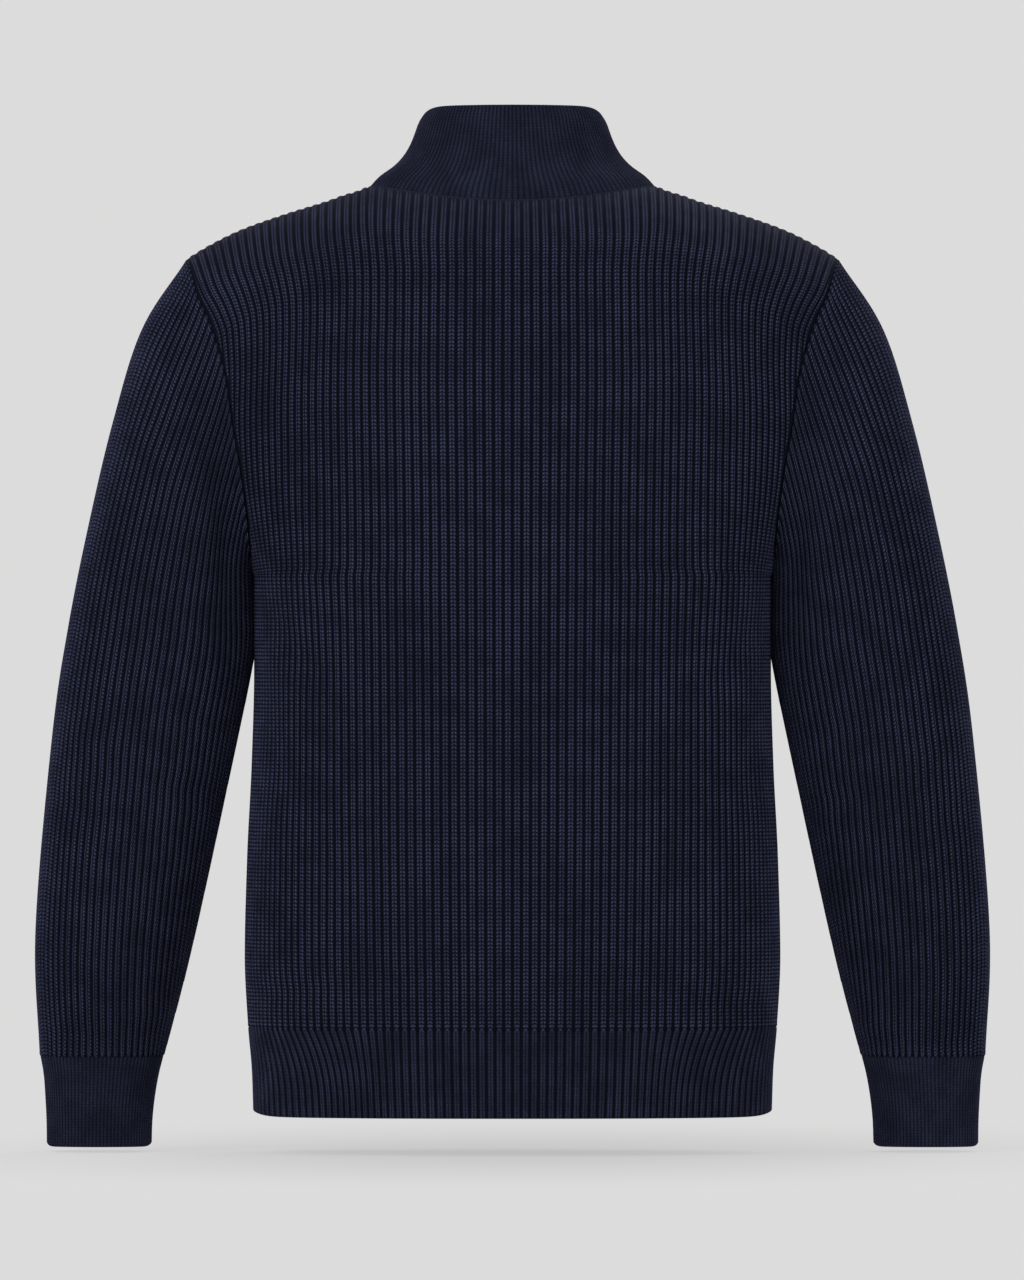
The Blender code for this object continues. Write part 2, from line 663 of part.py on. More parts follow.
# ---- the zip ----
TAPE_INNER = 3.3
TAPE_OUTER = 9.7
TAPE_FRONT, TAPE_REAR = -1.9, -3.1       # how far below the ribs' tops
CHAIN_HALF = 3.0
CHAIN_FRONT, CHAIN_REAR = -0.9, -3.5
SLIDER_HALF = 4.6
SLIDER_HEIGHT = 12.0
PLATE_FRONT, PLATE_REAR = 1.4, -0.6
BACK_FRONT, BACK_REAR = -3.8, -5.2
SLIDER_TOP = 7.0                         # below the collar's top
POST_HALF = 2.4                          # the post that joins the plates above the chain
EAR_IN, EAR_OUT = 1.75, 2.75             # the two ears that hold the pin
EAR_HALF, EAR_FRONT = 1.6, 4.4
PIN_DOWN = SLIDER_TOP + 4.0
PIN_OUT = 3.4
PIN_RADIUS = 0.5
PIN_HALF = 2.2
EYE_RADIUS = 1.5
EYE_HOLE = 0.8
EYE_HALF = 1.45
TAB_LENGTH = 24.0
TAB_THICK = 1.5
TAB_HALF = 3.0
TAB_NECK_HALF = 1.6
BITE = 0.02                              # parts of one body overlap by this much before they join
STOP_X = 4.6
BOX_HALF = 2.9


def zip_path():
    """Centre-front line from the hem to the collar top, as y and z."""
    one = np.zeros(1)
    rows = [torso((HEM_BOTTOM - HEM_JOIN) / (ARMPIT - HEM_JOIN), one, -1)[0]]
    rows += [torso(level, one, -1)[0] for level in TORSO_ROWS]
    rows += [collar(one, rise)[0] for rise in COLLAR_ROWS[1:]]
    return np.array(rows)[:, 1:]


ZIP_PATH = zip_path()
ZIP_TOP_WAY = unit(ZIP_PATH[-1] - ZIP_PATH[-2])


def trimmed(path, bottom, top):
    """The path with its ends cut back."""
    low = path[0] + unit(path[1] - path[0]) * bottom
    high = path[-1] - unit(path[-1] - path[-2]) * top
    return np.concatenate([[low], path[1:-1], [high]])


def strip(name, left, right, front, rear, bottom, top, look):
    """A flat strip that follows the zip line."""
    path = trimmed(ZIP_PATH, bottom, top)
    way = np.empty_like(path)
    way[0], way[-1] = unit(path[1] - path[0]), unit(path[-1] - path[-2])
    way[1:-1] = unit(unit(path[2:] - path[1:-1]) + unit(path[1:-1] - path[:-2]))
    out = np.stack([-way[:, 1], way[:, 0]], axis=1)
    out = out * np.where(out[:, :1] > 0, -1.0, 1.0)
    points, faces = [], []
    for p, n in zip(path, out):
        for x, depth in ((left, front), (right, front), (right, rear), (left, rear)):
            y, z = p + n * depth
            points.append((x, y, z))
    for i in range(len(path) - 1):
        for k in range(4):
            a, b = i * 4 + k, i * 4 + (k + 1) % 4
            faces += [(a, b, b + 4), (a, b + 4, a + 4)]
    end = 4 * (len(path) - 1)
    faces += [(0, 2, 1), (0, 3, 2), (end, end + 1, end + 2), (end, end + 2, end + 3)]
    return solid(name, points, faces, look)


def zip_frame(down):
    """A point on the zip line below the collar top, with its outward and upward ways."""
    up = np.array([0.0, ZIP_TOP_WAY[0], ZIP_TOP_WAY[1]])
    out = np.array([0.0, -ZIP_TOP_WAY[1], ZIP_TOP_WAY[0]])
    top = np.array([0.0, ZIP_PATH[-1][0], ZIP_PATH[-1][1]])
    return top - up * down, out, up


def extruded(outline, low, high, frame):
    """Points and faces of an outline in (out, up), carried across x from low to high."""
    origin, out, up = frame
    ring = [origin + out * a + up * b for a, b in outline]
    count = len(ring)
    points = [p + np.array([low, 0, 0]) for p in ring] + [p + np.array([high, 0, 0]) for p in ring]
    faces = [(i, (i + 1) % count, (i + 1) % count + count) for i in range(count)]
    faces += [(i, (i + 1) % count + count, i + count) for i in range(count)]
    return points, faces, count


def build_slider():
    """Front and back plates round the chain, joined above its end, and two ears with a pin."""
    frame = zip_frame(SLIDER_TOP)
    wide, deep = SLIDER_HALF, -SLIDER_HEIGHT
    pieces = [
        block(frame, -wide, wide, PLATE_REAR, PLATE_FRONT, deep, 0.0),
        block(frame, -wide, wide, BACK_REAR, BACK_FRONT, deep, 0.0),
        block(frame, -POST_HALF, POST_HALF, BACK_FRONT - 0.5, PLATE_REAR + 0.5, -2.4, -0.2),
    ]
    return joined("zip_slider", pieces + ears(frame), METAL, frame[0])


def block(frame, x_low, x_high, out_low, out_high, up_low, up_high):
    outline = [(out_low, up_low), (out_high, up_low), (out_high, up_high), (out_low, up_high)]
    points, faces, n = extruded(outline, x_low, x_high, frame)
    faces += [(0, 2, 1), (0, 3, 2), (n, n + 1, n + 2), (n, n + 2, n + 3)]
    return points, faces


def caps(n):
    """Fans that close both ends of an extruded outline of n points."""
    near = [(0, i + 1, i) for i in range(1, n - 1)]
    far = [(n, n + i, n + i + 1) for i in range(1, n - 1)]
    return near + far


def ears(frame):
    """Two ears on the slider's front plate and the pin between them."""
    pieces = []
    centre = -(PIN_DOWN - SLIDER_TOP)
    low, high = centre - EAR_HALF, centre + EAR_HALF
    for x_low, x_high in ((EAR_IN, EAR_OUT), (-EAR_OUT, -EAR_IN)):
        pieces.append(block(frame, x_low, x_high, PLATE_FRONT - 0.3, EAR_FRONT, low, high))
    turn = [math.tau * k / 12 for k in range(12)]
    outline = [
        (PIN_OUT + PIN_RADIUS * math.cos(a), centre + PIN_RADIUS * math.sin(a)) for a in turn
    ]
    points, faces, n = extruded(outline, -PIN_HALF, PIN_HALF, frame)
    pieces.append((points, faces + caps(n)))
    return pieces


def joined(name, pieces, look, origin):
    """Joins overlapping closed pieces into one body with exact Booleans; origin is its pivot."""
    made = []
    for i, (points, faces) in enumerate(pieces):
        points = np.asarray(points, float) - origin
        if volume(points, faces) < 0:
            faces = [f[::-1] for f in faces]
        mesh = bpy.data.meshes.new(f"{name}_{i}")
        mesh.from_pydata((points * MM).tolist(), [], [tuple(int(k) for k in f) for f in faces])
        body = bpy.data.objects.new(f"{name}_{i}", mesh)
        bpy.context.scene.collection.objects.link(body)
        made.append(body)
    first = made[0]
    for other in made[1:]:
        join = first.modifiers.new("join", "BOOLEAN")
        join.operation = "UNION"
        join.solver = "EXACT"
        join.object = other
    graph = bpy.context.evaluated_depsgraph_get()
    mesh = bpy.data.meshes.new_from_object(first.evaluated_get(graph))
    for body in made:
        bpy.data.objects.remove(body)
    mesh.calc_loop_triangles()
    count = len(mesh.loop_triangles)
    body = bpy.data.objects.new(name, mesh)
    body.data.name = name
    body.location = (origin * MM).tolist()
    bpy.context.scene.collection.objects.link(body)
    body.data.materials.clear()
    body.data.materials.append(material(look))
    print(name, count, "triangles")
    return count


def build_pull():
    """The pull tab: an eye on the pin and a long flat plate that hangs down the zip."""
    origin, out, up = frame = zip_frame(PIN_DOWN)
    pin = origin + out * PIN_OUT
    steps = 10
    turn = [math.tau * k / steps for k in range(steps)]
    ring = [(PIN_OUT + EYE_RADIUS * math.cos(a), EYE_RADIUS * math.sin(a)) for a in turn]
    hole = [(PIN_OUT + EYE_HOLE * math.cos(a), EYE_HOLE * math.sin(a)) for a in turn]
    points = []
    for outline, x in ((ring, -EYE_HALF), (ring, EYE_HALF), (hole, -EYE_HALF), (hole, EYE_HALF)):
        points += [origin + out * a + up * b + np.array([x, 0, 0]) for a, b in outline]
    faces = []
    for i in range(steps):
        j = (i + 1) % steps
        a0, a1, b0, b1 = i, j, steps + i, steps + j
        c0, c1, d0, d1 = 2 * steps + i, 2 * steps + j, 3 * steps + i, 3 * steps + j
        faces += [(a0, a1, b1), (a0, b1, b0), (c0, d1, c1), (c0, d0, d1)]
        faces += [(a0, c0, c1), (a0, c1, a1), (b0, b1, d1), (b0, d1, d0)]
    eye = (points, faces)
    near = PIN_OUT - EYE_RADIUS + BITE
    neck = block(frame, 0.1 - EYE_HALF, EYE_HALF - 0.1, near, near + TAB_THICK, -4.4, -0.95)
    outline = [
        (-TAB_NECK_HALF, -3.6),
        (TAB_NECK_HALF, -3.6),
        (TAB_HALF, -5.6),
        (TAB_HALF, -TAB_LENGTH + 2.0),
        (TAB_HALF - 1.4, -TAB_LENGTH),
        (-TAB_HALF + 1.4, -TAB_LENGTH),
        (-TAB_HALF, -TAB_LENGTH + 2.0),
        (-TAB_HALF, -5.6),
    ]
    points = []
    for depth in (near - BITE, near + TAB_THICK + BITE):
        points += [origin + out * depth + up * b + np.array([x, 0, 0]) for x, b in outline]
    n = len(outline)
    faces = [(i, (i + 1) % n, (i + 1) % n + n) for i in range(n)]
    faces += [(i, (i + 1) % n + n, i + n) for i in range(n)]
    return joined("zip_pull", [eye, neck, (points, faces + caps(n))], METAL, pin)


def build_zip():
    top = SLIDER_TOP + 2.7
    count = strip("zip_tape_left", TAPE_INNER, TAPE_OUTER, TAPE_FRONT, TAPE_REAR, 1.0, 1.0, TAPE)
    count += strip("zip_tape_right", -TAPE_OUTER, -TAPE_INNER, TAPE_FRONT, TAPE_REAR, 1.0, 1.0, TAPE)
    count += strip("zip_chain", -CHAIN_HALF, CHAIN_HALF, CHAIN_FRONT, CHAIN_REAR, 9.0, top, METAL)
    count += build_slider() + build_pull()
    frame = zip_frame(SLIDER_TOP - 0.8)
    for name, x in (("zip_stop_left", STOP_X), ("zip_stop_right", -STOP_X)):
        points, faces = block(frame, x - 1.0, x + 1.0, TAPE_FRONT + 0.3, 0.4, 0.0, 3.6)
        count += solid(name, points, faces, METAL)
    low = ZIP_PATH[0]
    way = unit(ZIP_PATH[1] - ZIP_PATH[0])
    up = np.array([0.0, way[0], way[1]])
    out = np.array([0.0, -way[1], way[0]])
    frame = (np.array([0.0, low[0], low[1]]), out, up)
    rear, front = CHAIN_REAR - 0.2, CHAIN_FRONT + 0.3
    points, faces = block(frame, -BOX_HALF, BOX_HALF, rear, front, 1.0, 8.7)
    return count + solid("zip_box", points, faces, METAL)


def main():
    for old in list(bpy.data.objects):
        bpy.data.objects.remove(old)
    count = build_body() + build_hem() + build_collar() + build_sleeves() + build_zip()
    origin, out, _ = zip_frame(PIN_DOWN)
    print("triangles in all", count)
    print("pin at (m)", np.round((origin + out * PIN_OUT) * MM, 5).tolist())
    print("zip line (mm)", np.round(ZIP_PATH, 1).tolist())


main()
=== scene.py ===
# %% [markdown]
# # A zip-up rib sweater
#
# A navy cotton sweater in a thick rib knit, with a fine-rib stand collar, set-in sleeves, rib
# cuffs and a rib hem, shown from behind and filled as if somebody wore it.  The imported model
# gives every panel as a plain wall.  This script dresses it: each knit panel becomes a net
# whose columns follow the ribs, the zip gets its teeth, and the yarn is a procedural material.

import math

import bpy
import numpy as np
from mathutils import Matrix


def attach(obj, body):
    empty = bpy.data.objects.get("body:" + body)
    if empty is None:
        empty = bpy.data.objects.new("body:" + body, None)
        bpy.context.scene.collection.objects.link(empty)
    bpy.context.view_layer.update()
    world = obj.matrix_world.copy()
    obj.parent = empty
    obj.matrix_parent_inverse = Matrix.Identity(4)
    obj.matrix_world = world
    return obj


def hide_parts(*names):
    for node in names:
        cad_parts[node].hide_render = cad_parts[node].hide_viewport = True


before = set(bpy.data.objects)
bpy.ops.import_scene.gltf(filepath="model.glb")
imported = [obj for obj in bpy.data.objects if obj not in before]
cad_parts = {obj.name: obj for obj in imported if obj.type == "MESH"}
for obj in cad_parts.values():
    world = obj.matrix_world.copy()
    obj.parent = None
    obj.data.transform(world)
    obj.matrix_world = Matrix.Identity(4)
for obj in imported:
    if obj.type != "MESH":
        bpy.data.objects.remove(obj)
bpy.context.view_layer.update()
MM = 0.001

# %% [markdown]
# ## The sizes
#
# The panels are cut to the same named sizes as the solids: a table gives the torso at each
# height, another the shoulder's ridge, and a third the sleeve's rings.  All are millimetres,
# from the middle of the neck base, with the front at -Y and the wearer's left at +X.

# %% Named sizes
RIB_DEPTH, RIB_FOOT = 1.9, 0.9    # the wide rib's groove: how deep, and where its floor starts
RIB_CREST = 0.2                   # half width of its flat top, as a share of half the rib
HEM_DEPTH, FINE_DEPTH = 1.5, 0.7
BACK_RIBS, FRONT_RIBS, SLEEVE_RIBS = 84, 40, 72
CUFF_RIBS, COLLAR_RIBS = 90, 136
PANEL_RIBS = {1: 42, -1: 40}      # of half the back, and of a front
KEPT_RIBS = {1: 38, -1: 36}       # of these, the ones that reach the shoulder or the neck
NECK_RIBS = {1: 16, -1: 14}       # and the ones that end at the neckline
END_STRIP, END_SOFT = 0.26, 1.0   # width that an ended rib keeps beside the seam
SLEEVE_LEAN, DRIFT_FROM = 0.045, 1.55
HEM_BOTTOM, HEM_JOIN, ARMPIT = -694.0, -628.0, -290.0
CHEST_TURN, SHOULDER, SHOULDER_X, SHOULDER_TURN = -111.0, -51.0, 244.0, 60.0
NECK_X, SEAM_ANGLE, BACK_NECK_ANGLE, FRONT_NECK_ANGLE = 108.0, 8.0, 32.5, 66.0
FRONT_EDGE_X = 10.0
START = {1: 0.0, -1: FRONT_EDGE_X}    # where half the back and a front begin
SECTION_POWER, DOME_POWER = 2.4, 0.92
ROUND_MORE_BACK, ROUND_MORE_FRONT = 5.0, 50.0
ARMHOLE_DEPTH, FRONT_SCOOP = 75.0, 8.0
ARMHOLE_MID = (SHOULDER + ARMPIT) / 2
ARMHOLE_HALF = (SHOULDER - ARMPIT) / 2

TORSO = (
    # height, half width, back, front, fullness of the back and the front, rib pitch at the
    # centre, spread above the armpit
    (-694, 194.6, 112, 111, 0.820, 0.820, 6.40, 0.10),
    (-662, 195.6, 115, 113, 0.820, 0.820, 6.50, 0.10),
    (-628, 198.4, 119, 116, 0.820, 0.820, 6.55, 0.10),
    (-575, 201, 122, 119, 0.820, 0.820, 6.62, 0.10),
    (-500, 199.2, 121, 119, 0.820, 0.820, 6.72, 0.10),
    (-430, 195.8, 121, 120, 0.820, 0.820, 6.80, 0.10),
    (-360, 194, 124, 123, 0.821, 0.821, 6.86, 0.10),
    (-290, 195, 129, 126, 0.824, 0.826, 6.93, 0.11),
    (-262, 196.6, 130, 126, 0.833, 0.837, 6.98, 0.12),
    (-217, 202, 130, 123, 0.849, 0.860, 7.10, 0.15),
    (-172, 210, 128, 118, 0.857, 0.874, 7.25, 0.20),
    (-143, 214, 125, 112, 0.853, 0.877, 7.33, 0.23),
    (-111, 222.5, 121, 106, 0.8363, 0.8638, 7.38, 0.25),
    (-96, 228, 121, 106, 0.8363, 0.8638, 7.38, 0.25),
    (-78, 236, 121, 106, 0.8363, 0.8638, 7.38, 0.25),
    (-51, 244, 121, 106, 0.8363, 0.8638, 7.38, 0.25),
)
RIDGE = (
    # x, height
    (0, 1),
    (60, 1.5),
    (108, 2.4),
    (117, -0.6),
    (129, -4.2),
    (137, -7.2),
    (170, -17.5),
    (205, -30),
    (230, -42.5),
    (244, -51),
)
SLEEVE = (
    # outer x, outer z, under x, under z, depth, middle, ribs from the top to the underarm
    (278, -104, 192.6, -298, 77, -2, 36),
    (300, -174, 192, -307, 74, -3, 36),
    (318, -250, 191.4, -322, 69, -4, 36),
    (333.5, -327, 192.6, -346, 65, -6, 35.7),
    (345.7, -409, 209.5, -428, 61, -10, 34.8),
    (358.5, -555, 240, -567, 52, -20, 31.5),
    (355.5, -650, 261.5, -650, 43, -28, 28.5),
)
SLEEVE_POWER = 2.2
CUFF = (
    (354.8, -650, 262.3, -650, 42, -28, 45),
    (352.4, -664, 265.8, -664, 40, -29.2, 45),
    (351.2, -682, 268.8, -682, 38.6, -30.8, 45),
    (350.4, -700, 270.6, -700, 38, -32.4, 45),
    (350.2, -718, 271.2, -718, 38, -34, 45),
)
FLARE = (
    # share of the collar's height, share of the flare that is left
    (0.000, 1.000),
    (0.145, 0.821),
    (0.290, 0.555),
    (0.435, 0.379),
    (0.580, 0.266),
    (0.726, 0.186),
    (0.870, 0.115),
    (1.000, 0.000),
)
COLLAR_TOP_X, COLLAR_TOP_BACK, COLLAR_TOP_FRONT = 66.0, 44.0, -80.0
COLLAR_TOP_Z, FRONT_RISE = 63.2, 69.0
CORNER_DROP, CORNER_POWER = 5.0, 14
HEM_LEAN, HEM_LEAN_DOWN = 0.05, 50.0

# %% [markdown]
# ## Small mathematics
#
# A table of sizes becomes a smooth shape with a monotone cubic, which never swings past the
# numbers it is given as a plain spline would.  Everything works on whole arrays.


# %% Curves through tables and polylines
def smooth(t, table, column):
    """Cubic through one column of a table; its slope at a row is the harmonic mean of the two
    slopes beside it, or zero where they disagree in sign."""
    x = np.array([row[0] for row in table], float)
    y = np.array([row[column] for row in table], float)
    h = np.diff(x)
    d = np.diff(y) / h
    m = np.zeros_like(y)
    both = d[:-1] * d[1:]
    m[1:-1] = np.where(both > 0, 2 * both / (d[:-1] + d[1:] + 1e-12), 0.0)
    m[0], m[-1] = d[0], d[-1]
    t = np.clip(np.asarray(t, float), x[0], x[-1])
    i = np.clip(np.searchsorted(x, t, side="right") - 1, 0, len(h) - 1)
    u = (t - x[i]) / h[i]
    up = u * u * (3 - 2 * u)
    return (1 - up) * y[i] + up * y[i + 1] + h[i] * u * (1 - u) * ((1 - u) * m[i] - u * m[i + 1])


def unit(v):
    """Each vector over its own length."""
    return v / np.maximum(np.linalg.norm(v, axis=-1, keepdims=True), 1e-12)


def ease(x):
    """The smooth step 3x^2 - 2x^3 between 0 and 1."""
    x = np.clip(x, 0, 1)
    return x * x * (3 - 2 * x)


def run_length(points):
    """Distance along a polyline at each of its points."""
    steps = np.linalg.norm(np.diff(points, axis=0), axis=-1)
    return np.concatenate([np.zeros_like(steps[:1]), np.cumsum(steps, axis=0)])


def carried(at, x, values):
    """Each column of the values, known at x, read at other places."""
    return np.stack([np.interp(at, x, column) for column in values.T], axis=1)


def along(points, shares, values=None):
    """Points, or values that go with them, at the given shares of a polyline's length."""
    run = run_length(points)
    return carried(shares, run / run[-1], points if values is None else values)

# %% [markdown]
# ## The torso's surface
#
# Below the armpit the body is a squarish oval at each height.  Above it the panel's edge is the
# armhole, an ellipse seen from the side, and over the shoulder the surface turns through a
# right angle about the ridge.  A column of the net keeps its share of the width from the hem to
# the top, so near the armhole the ribs run along the seam, as on the real back panel.


# %% Torso formulas
def edge_depth(height):
    """The armhole's half depth: 75 mm times the root of 1 - ((height - middle) / half)^2."""
    inside = 1 - ((height - ARMHOLE_MID) / ARMHOLE_HALF) ** 2
    return ARMHOLE_DEPTH * np.sqrt(np.maximum(inside, 0.0))


def half_width(height, side):
    """Half width at the side or armhole seam; the front armhole is cut in by a squared sine."""
    width = smooth(height, TORSO, 1)
    share = np.clip((height - ARMPIT) / (SHOULDER - ARMPIT), 0.0, 1.0)
    return width - np.where(np.asarray(side) < 0, FRONT_SCOOP * np.sin(math.pi * share) ** 2, 0.0)


def turn_radius(x, side):
    """Radius of the round-over: 60 mm at the shoulder point, more towards the centre."""
    share = 1 - np.clip(np.abs(x) / SHOULDER_X, 0, 1) ** 2
    return SHOULDER_TURN + np.where(np.asarray(side) < 0, ROUND_MORE_FRONT, ROUND_MORE_BACK) * share


def over_shoulder(x, angle):
    """Point of the rounded shoulder at x; the angle is 90 at the back, 0 on the ridge, -90 in
    front.  Depth is edge + (full sin(angle) - edge) (1 - (x / width)^2.4)^0.92."""
    side = np.where(angle < 0, -1.0, 1.0)
    turn = np.radians(np.abs(angle))
    side_z = SHOULDER - SHOULDER_TURN * (1 - np.cos(turn))
    width = half_width(side_z, side)
    full = np.where(side > 0, smooth(side_z, TORSO, 2), smooth(side_z, TORSO, 3))
    edge = edge_depth(side_z)
    fall = np.maximum(1 - np.clip(np.abs(x) / width, 0, 1) ** SECTION_POWER, 0)
    y = side * (edge + (full * np.sin(turn) - edge) * fall**DOME_POWER)
    z = smooth(np.abs(x), RIDGE, 1) - turn_radius(x, side) * (1 - np.cos(turn))
    return np.stack([x + 0 * y, y, z], axis=-1)


def neck_angle(x, side):
    """Angle at which a panel ends: an elliptic neckline inside 108 mm, then the shoulder seam."""
    bow = np.sqrt(np.maximum(1 - np.clip(np.abs(x) / NECK_X, 0, 1) ** 2, 0))
    if side > 0:
        return -SEAM_ANGLE + (BACK_NECK_ANGLE + SEAM_ANGLE) * bow
    return -SEAM_ANGLE - (FRONT_NECK_ANGLE - SEAM_ANGLE) * bow


def neck_line(side, start):
    """Half the neckline of a panel, centre to shoulder seam: x, angle, and the point."""
    a = np.linspace(math.asin(start / NECK_X), math.pi / 2, 241)
    x = NECK_X * np.sin(a)
    angle = neck_angle(x, side)
    return x, angle, over_shoulder(x, angle)


def half_neckline():
    """Half the neckline, zip edge to centre back: x, angle, and the point."""
    front = neck_line(-1, FRONT_EDGE_X)
    back = neck_line(1, 0.0)
    return [np.concatenate([f, b[::-1][1:]]) for f, b in zip(front, back)]


def ended(reach, shares, side, total):
    """Keeps each column inside a width.  A rib that would pass the edge runs along it instead,
    in a strip of its own; the two are joined by a soft minimum, L - w log(1 + exp((L - q) / w)).
    """
    limit = total - END_STRIP * PANEL_RIBS[side] * (1 - shares)
    soft = limit - END_SOFT * np.logaddexp(0, (limit - reach) / END_SOFT)
    return np.where(shares > 1 - 1e-9, total, soft)


def top_x(shares, side):
    """Where each column meets the panel's top edge: first the neckline, then the shoulder,
    evenly spaced as seen from behind, so that the ribs stay upright."""
    start = START[side]
    share = shares * PANEL_RIBS[side] / KEPT_RIBS[side]
    corner = NECK_RIBS[side] / KEPT_RIBS[side]
    neck = start + (NECK_X - start) * share / corner
    shoulder = NECK_X + (SHOULDER_X - NECK_X) * (share - corner) / (1 - corner)
    reach = np.where(share <= corner + 1e-9, neck, shoulder)
    return ended(reach, shares, side, SHOULDER_X)


def section(height, side):
    """Width, depth, end shape and edge of one level section.  The fullness is the share of the
    depth that is left two thirds of the way out, and the end shape is solved from it."""
    width = float(half_width(height, side))
    depth = float(smooth(height, TORSO, 2 if side > 0 else 3))
    full = float(smooth(height, TORSO, 4 if side > 0 else 5))
    edge = float(edge_depth(height)) if height > ARMPIT else 0.0
    bend = math.log((full * depth - edge) / (depth - edge)) / math.log(1 - (2 / 3) ** SECTION_POWER)
    return width, depth, bend, edge


def section_run(height, side):
    """Fine points of a level section: distance from the centre, and length up to there."""
    start = START[side]
    width, depth, bend, edge = section(height, side)
    x = start + (width - start) * np.sin(np.linspace(0, math.pi / 2, 401))
    y = edge + (depth - edge) * np.maximum(1 - (x / width) ** SECTION_POWER, 0) ** bend
    return x, run_length(np.stack([x, y], axis=1))


def spaced(height, shares, side):
    """Distance from the centre of each column.  The table gives the pitch at the centre, and
    the ribs narrow steadily from there to the side.  Above the armpit the outer ribs end at the
    armhole, where they run on beside the seam, so the others keep their line."""
    x, run = section_run(height, side)
    pitch = float(smooth(height, TORSO, 6))
    ribs = PANEL_RIBS[side]
    if height <= ARMPIT:
        spread = pitch * ribs / run[-1] - 1
        return np.interp(shares * (1 + spread) - spread * shares**2, run / run[-1], x)
    spread = float(smooth(height, TORSO, 7))
    share = shares * ribs / min(run[-1] * (1 + spread) / pitch, ribs)
    curve = share * (1 + spread) - spread * share**2
    beyond = 1 + (1 - spread) * (share - 1)
    reach = run[-1] * np.where(share <= 1, curve, beyond)
    return np.interp(ended(reach, shares, side, run[-1]), run, x)


def drifted(base, level, shares, side):
    """Share of the width at which each column lies: from level 1.55 up it drifts, by a smooth
    step, to its place on the top edge."""
    if level <= DRIFT_FROM:
        return base
    start = START[side]
    top = (top_x(shares, side) - start) / (SHOULDER_X - start)
    late = ease((level - DRIFT_FROM) / (3 - DRIFT_FROM))
    return (1 - late) * base + late * top


def torso(level, shares, side):
    """Outer surface of a panel.  Level 0 is the hem join, 1 the armpit, 2 where the shoulder
    starts to turn, 3 the top edge; shares run from the centre to the side, and side is 1 for
    the back and -1 for a front."""
    if level <= 2:
        low, high = (HEM_JOIN, ARMPIT) if level <= 1 else (ARMPIT, CHEST_TURN)
        height = low + (high - low) * (level if level <= 1 else level - 1)
        width, depth, bend, edge = section(height, side)
        start = START[side]
        base = (spaced(height, shares, side) - start) / (width - start)
        x = start + (width - start) * drifted(base, level, shares, side)
        shape = np.maximum(1 - np.clip(x / width, 0, 1) ** SECTION_POWER, 0) ** bend
        lift = max(level - 1, 0.0)
        turned = smooth(x, RIDGE, 1) - turn_radius(x, side) - CHEST_TURN
        edge_turned = smooth(width, RIDGE, 1) - turn_radius(width, side) - CHEST_TURN
        z = height + lift * (turned - edge_turned * (x / width) ** 4)
        return np.stack([x, side * (edge + (depth - edge) * shape), z], axis=1)
    over = level - 2
    turn = math.radians(90 - (90 + SEAM_ANGLE) * over)
    width = float(half_width(SHOULDER - SHOULDER_TURN * (1 - math.cos(turn)), side))
    low = float(half_width(CHEST_TURN, side))
    start = START[side]
    high = top_x(shares, side)
    base = (spaced(CHEST_TURN, shares, side) - start) / (low - start)
    x = start + (width - start) * drifted(base, level, shares, side)
    angle = side * 90 + (neck_angle(high, side) - side * 90) * over
    points = over_shoulder(x, angle)
    lost = smooth(low, RIDGE, 1) - turn_radius(low, side) - CHEST_TURN
    points[:, 2] -= (1 - over) ** 2 * lost * (x / low) ** 4
    return points

# %% [markdown]
# ## The collar's and the sleeve's surfaces
#
# The collar is lofted from the neckline to a smaller ring at its top, with a flare that is used
# up quickly, so it leaves the shoulders flat and then stands.  The sleeve is lofted from the
# armhole through seven rings, which tilt less and less down to the cuff.

# %% Collar and sleeve formulas
UNDER_STRIP, UNDER_SOFT = 0.0014, 0.006       # shares of half the sleeve's girth
PHASES_8 = np.array([0.0, 0.12, 0.23, 0.34, 0.5, 0.66, 0.77, 0.88])
PHASES_6 = np.array([0.0, 0.18, 0.34, 0.5, 0.66, 0.82])


def collar(shares, rise):
    """Outer surface of the collar's left half, zip edge to centre back: neckline and top ring
    mixed by the flare that is left, and lifted by the rise."""
    base = along(half_neckline()[2], shares)
    middle = (COLLAR_TOP_BACK + COLLAR_TOP_FRONT) / 2
    half = (COLLAR_TOP_BACK - COLLAR_TOP_FRONT) / 2
    a = np.linspace(math.asin(FRONT_EDGE_X / COLLAR_TOP_X), math.pi, 361)
    ring = np.stack([COLLAR_TOP_X * np.sin(a), middle - half * np.cos(a)], axis=1)
    top = along(ring, shares)
    side_rise = COLLAR_TOP_Z - np.interp(0.5, shares, base[:, 2])
    front = side_rise + (FRONT_RISE - side_rise) * np.cos(math.pi * np.clip(shares, 0, 0.5)) ** 2
    lift = np.where(shares > 0.5, COLLAR_TOP_Z - base[:, 2], front)
    lift = lift - CORNER_DROP * (top[:, 0] / COLLAR_TOP_X) ** CORNER_POWER
    left = float(smooth(rise, FLARE, 1))
    xy = top + left * (base[:, :2] - top)
    return np.column_stack([xy, base[:, 2] + rise * lift])


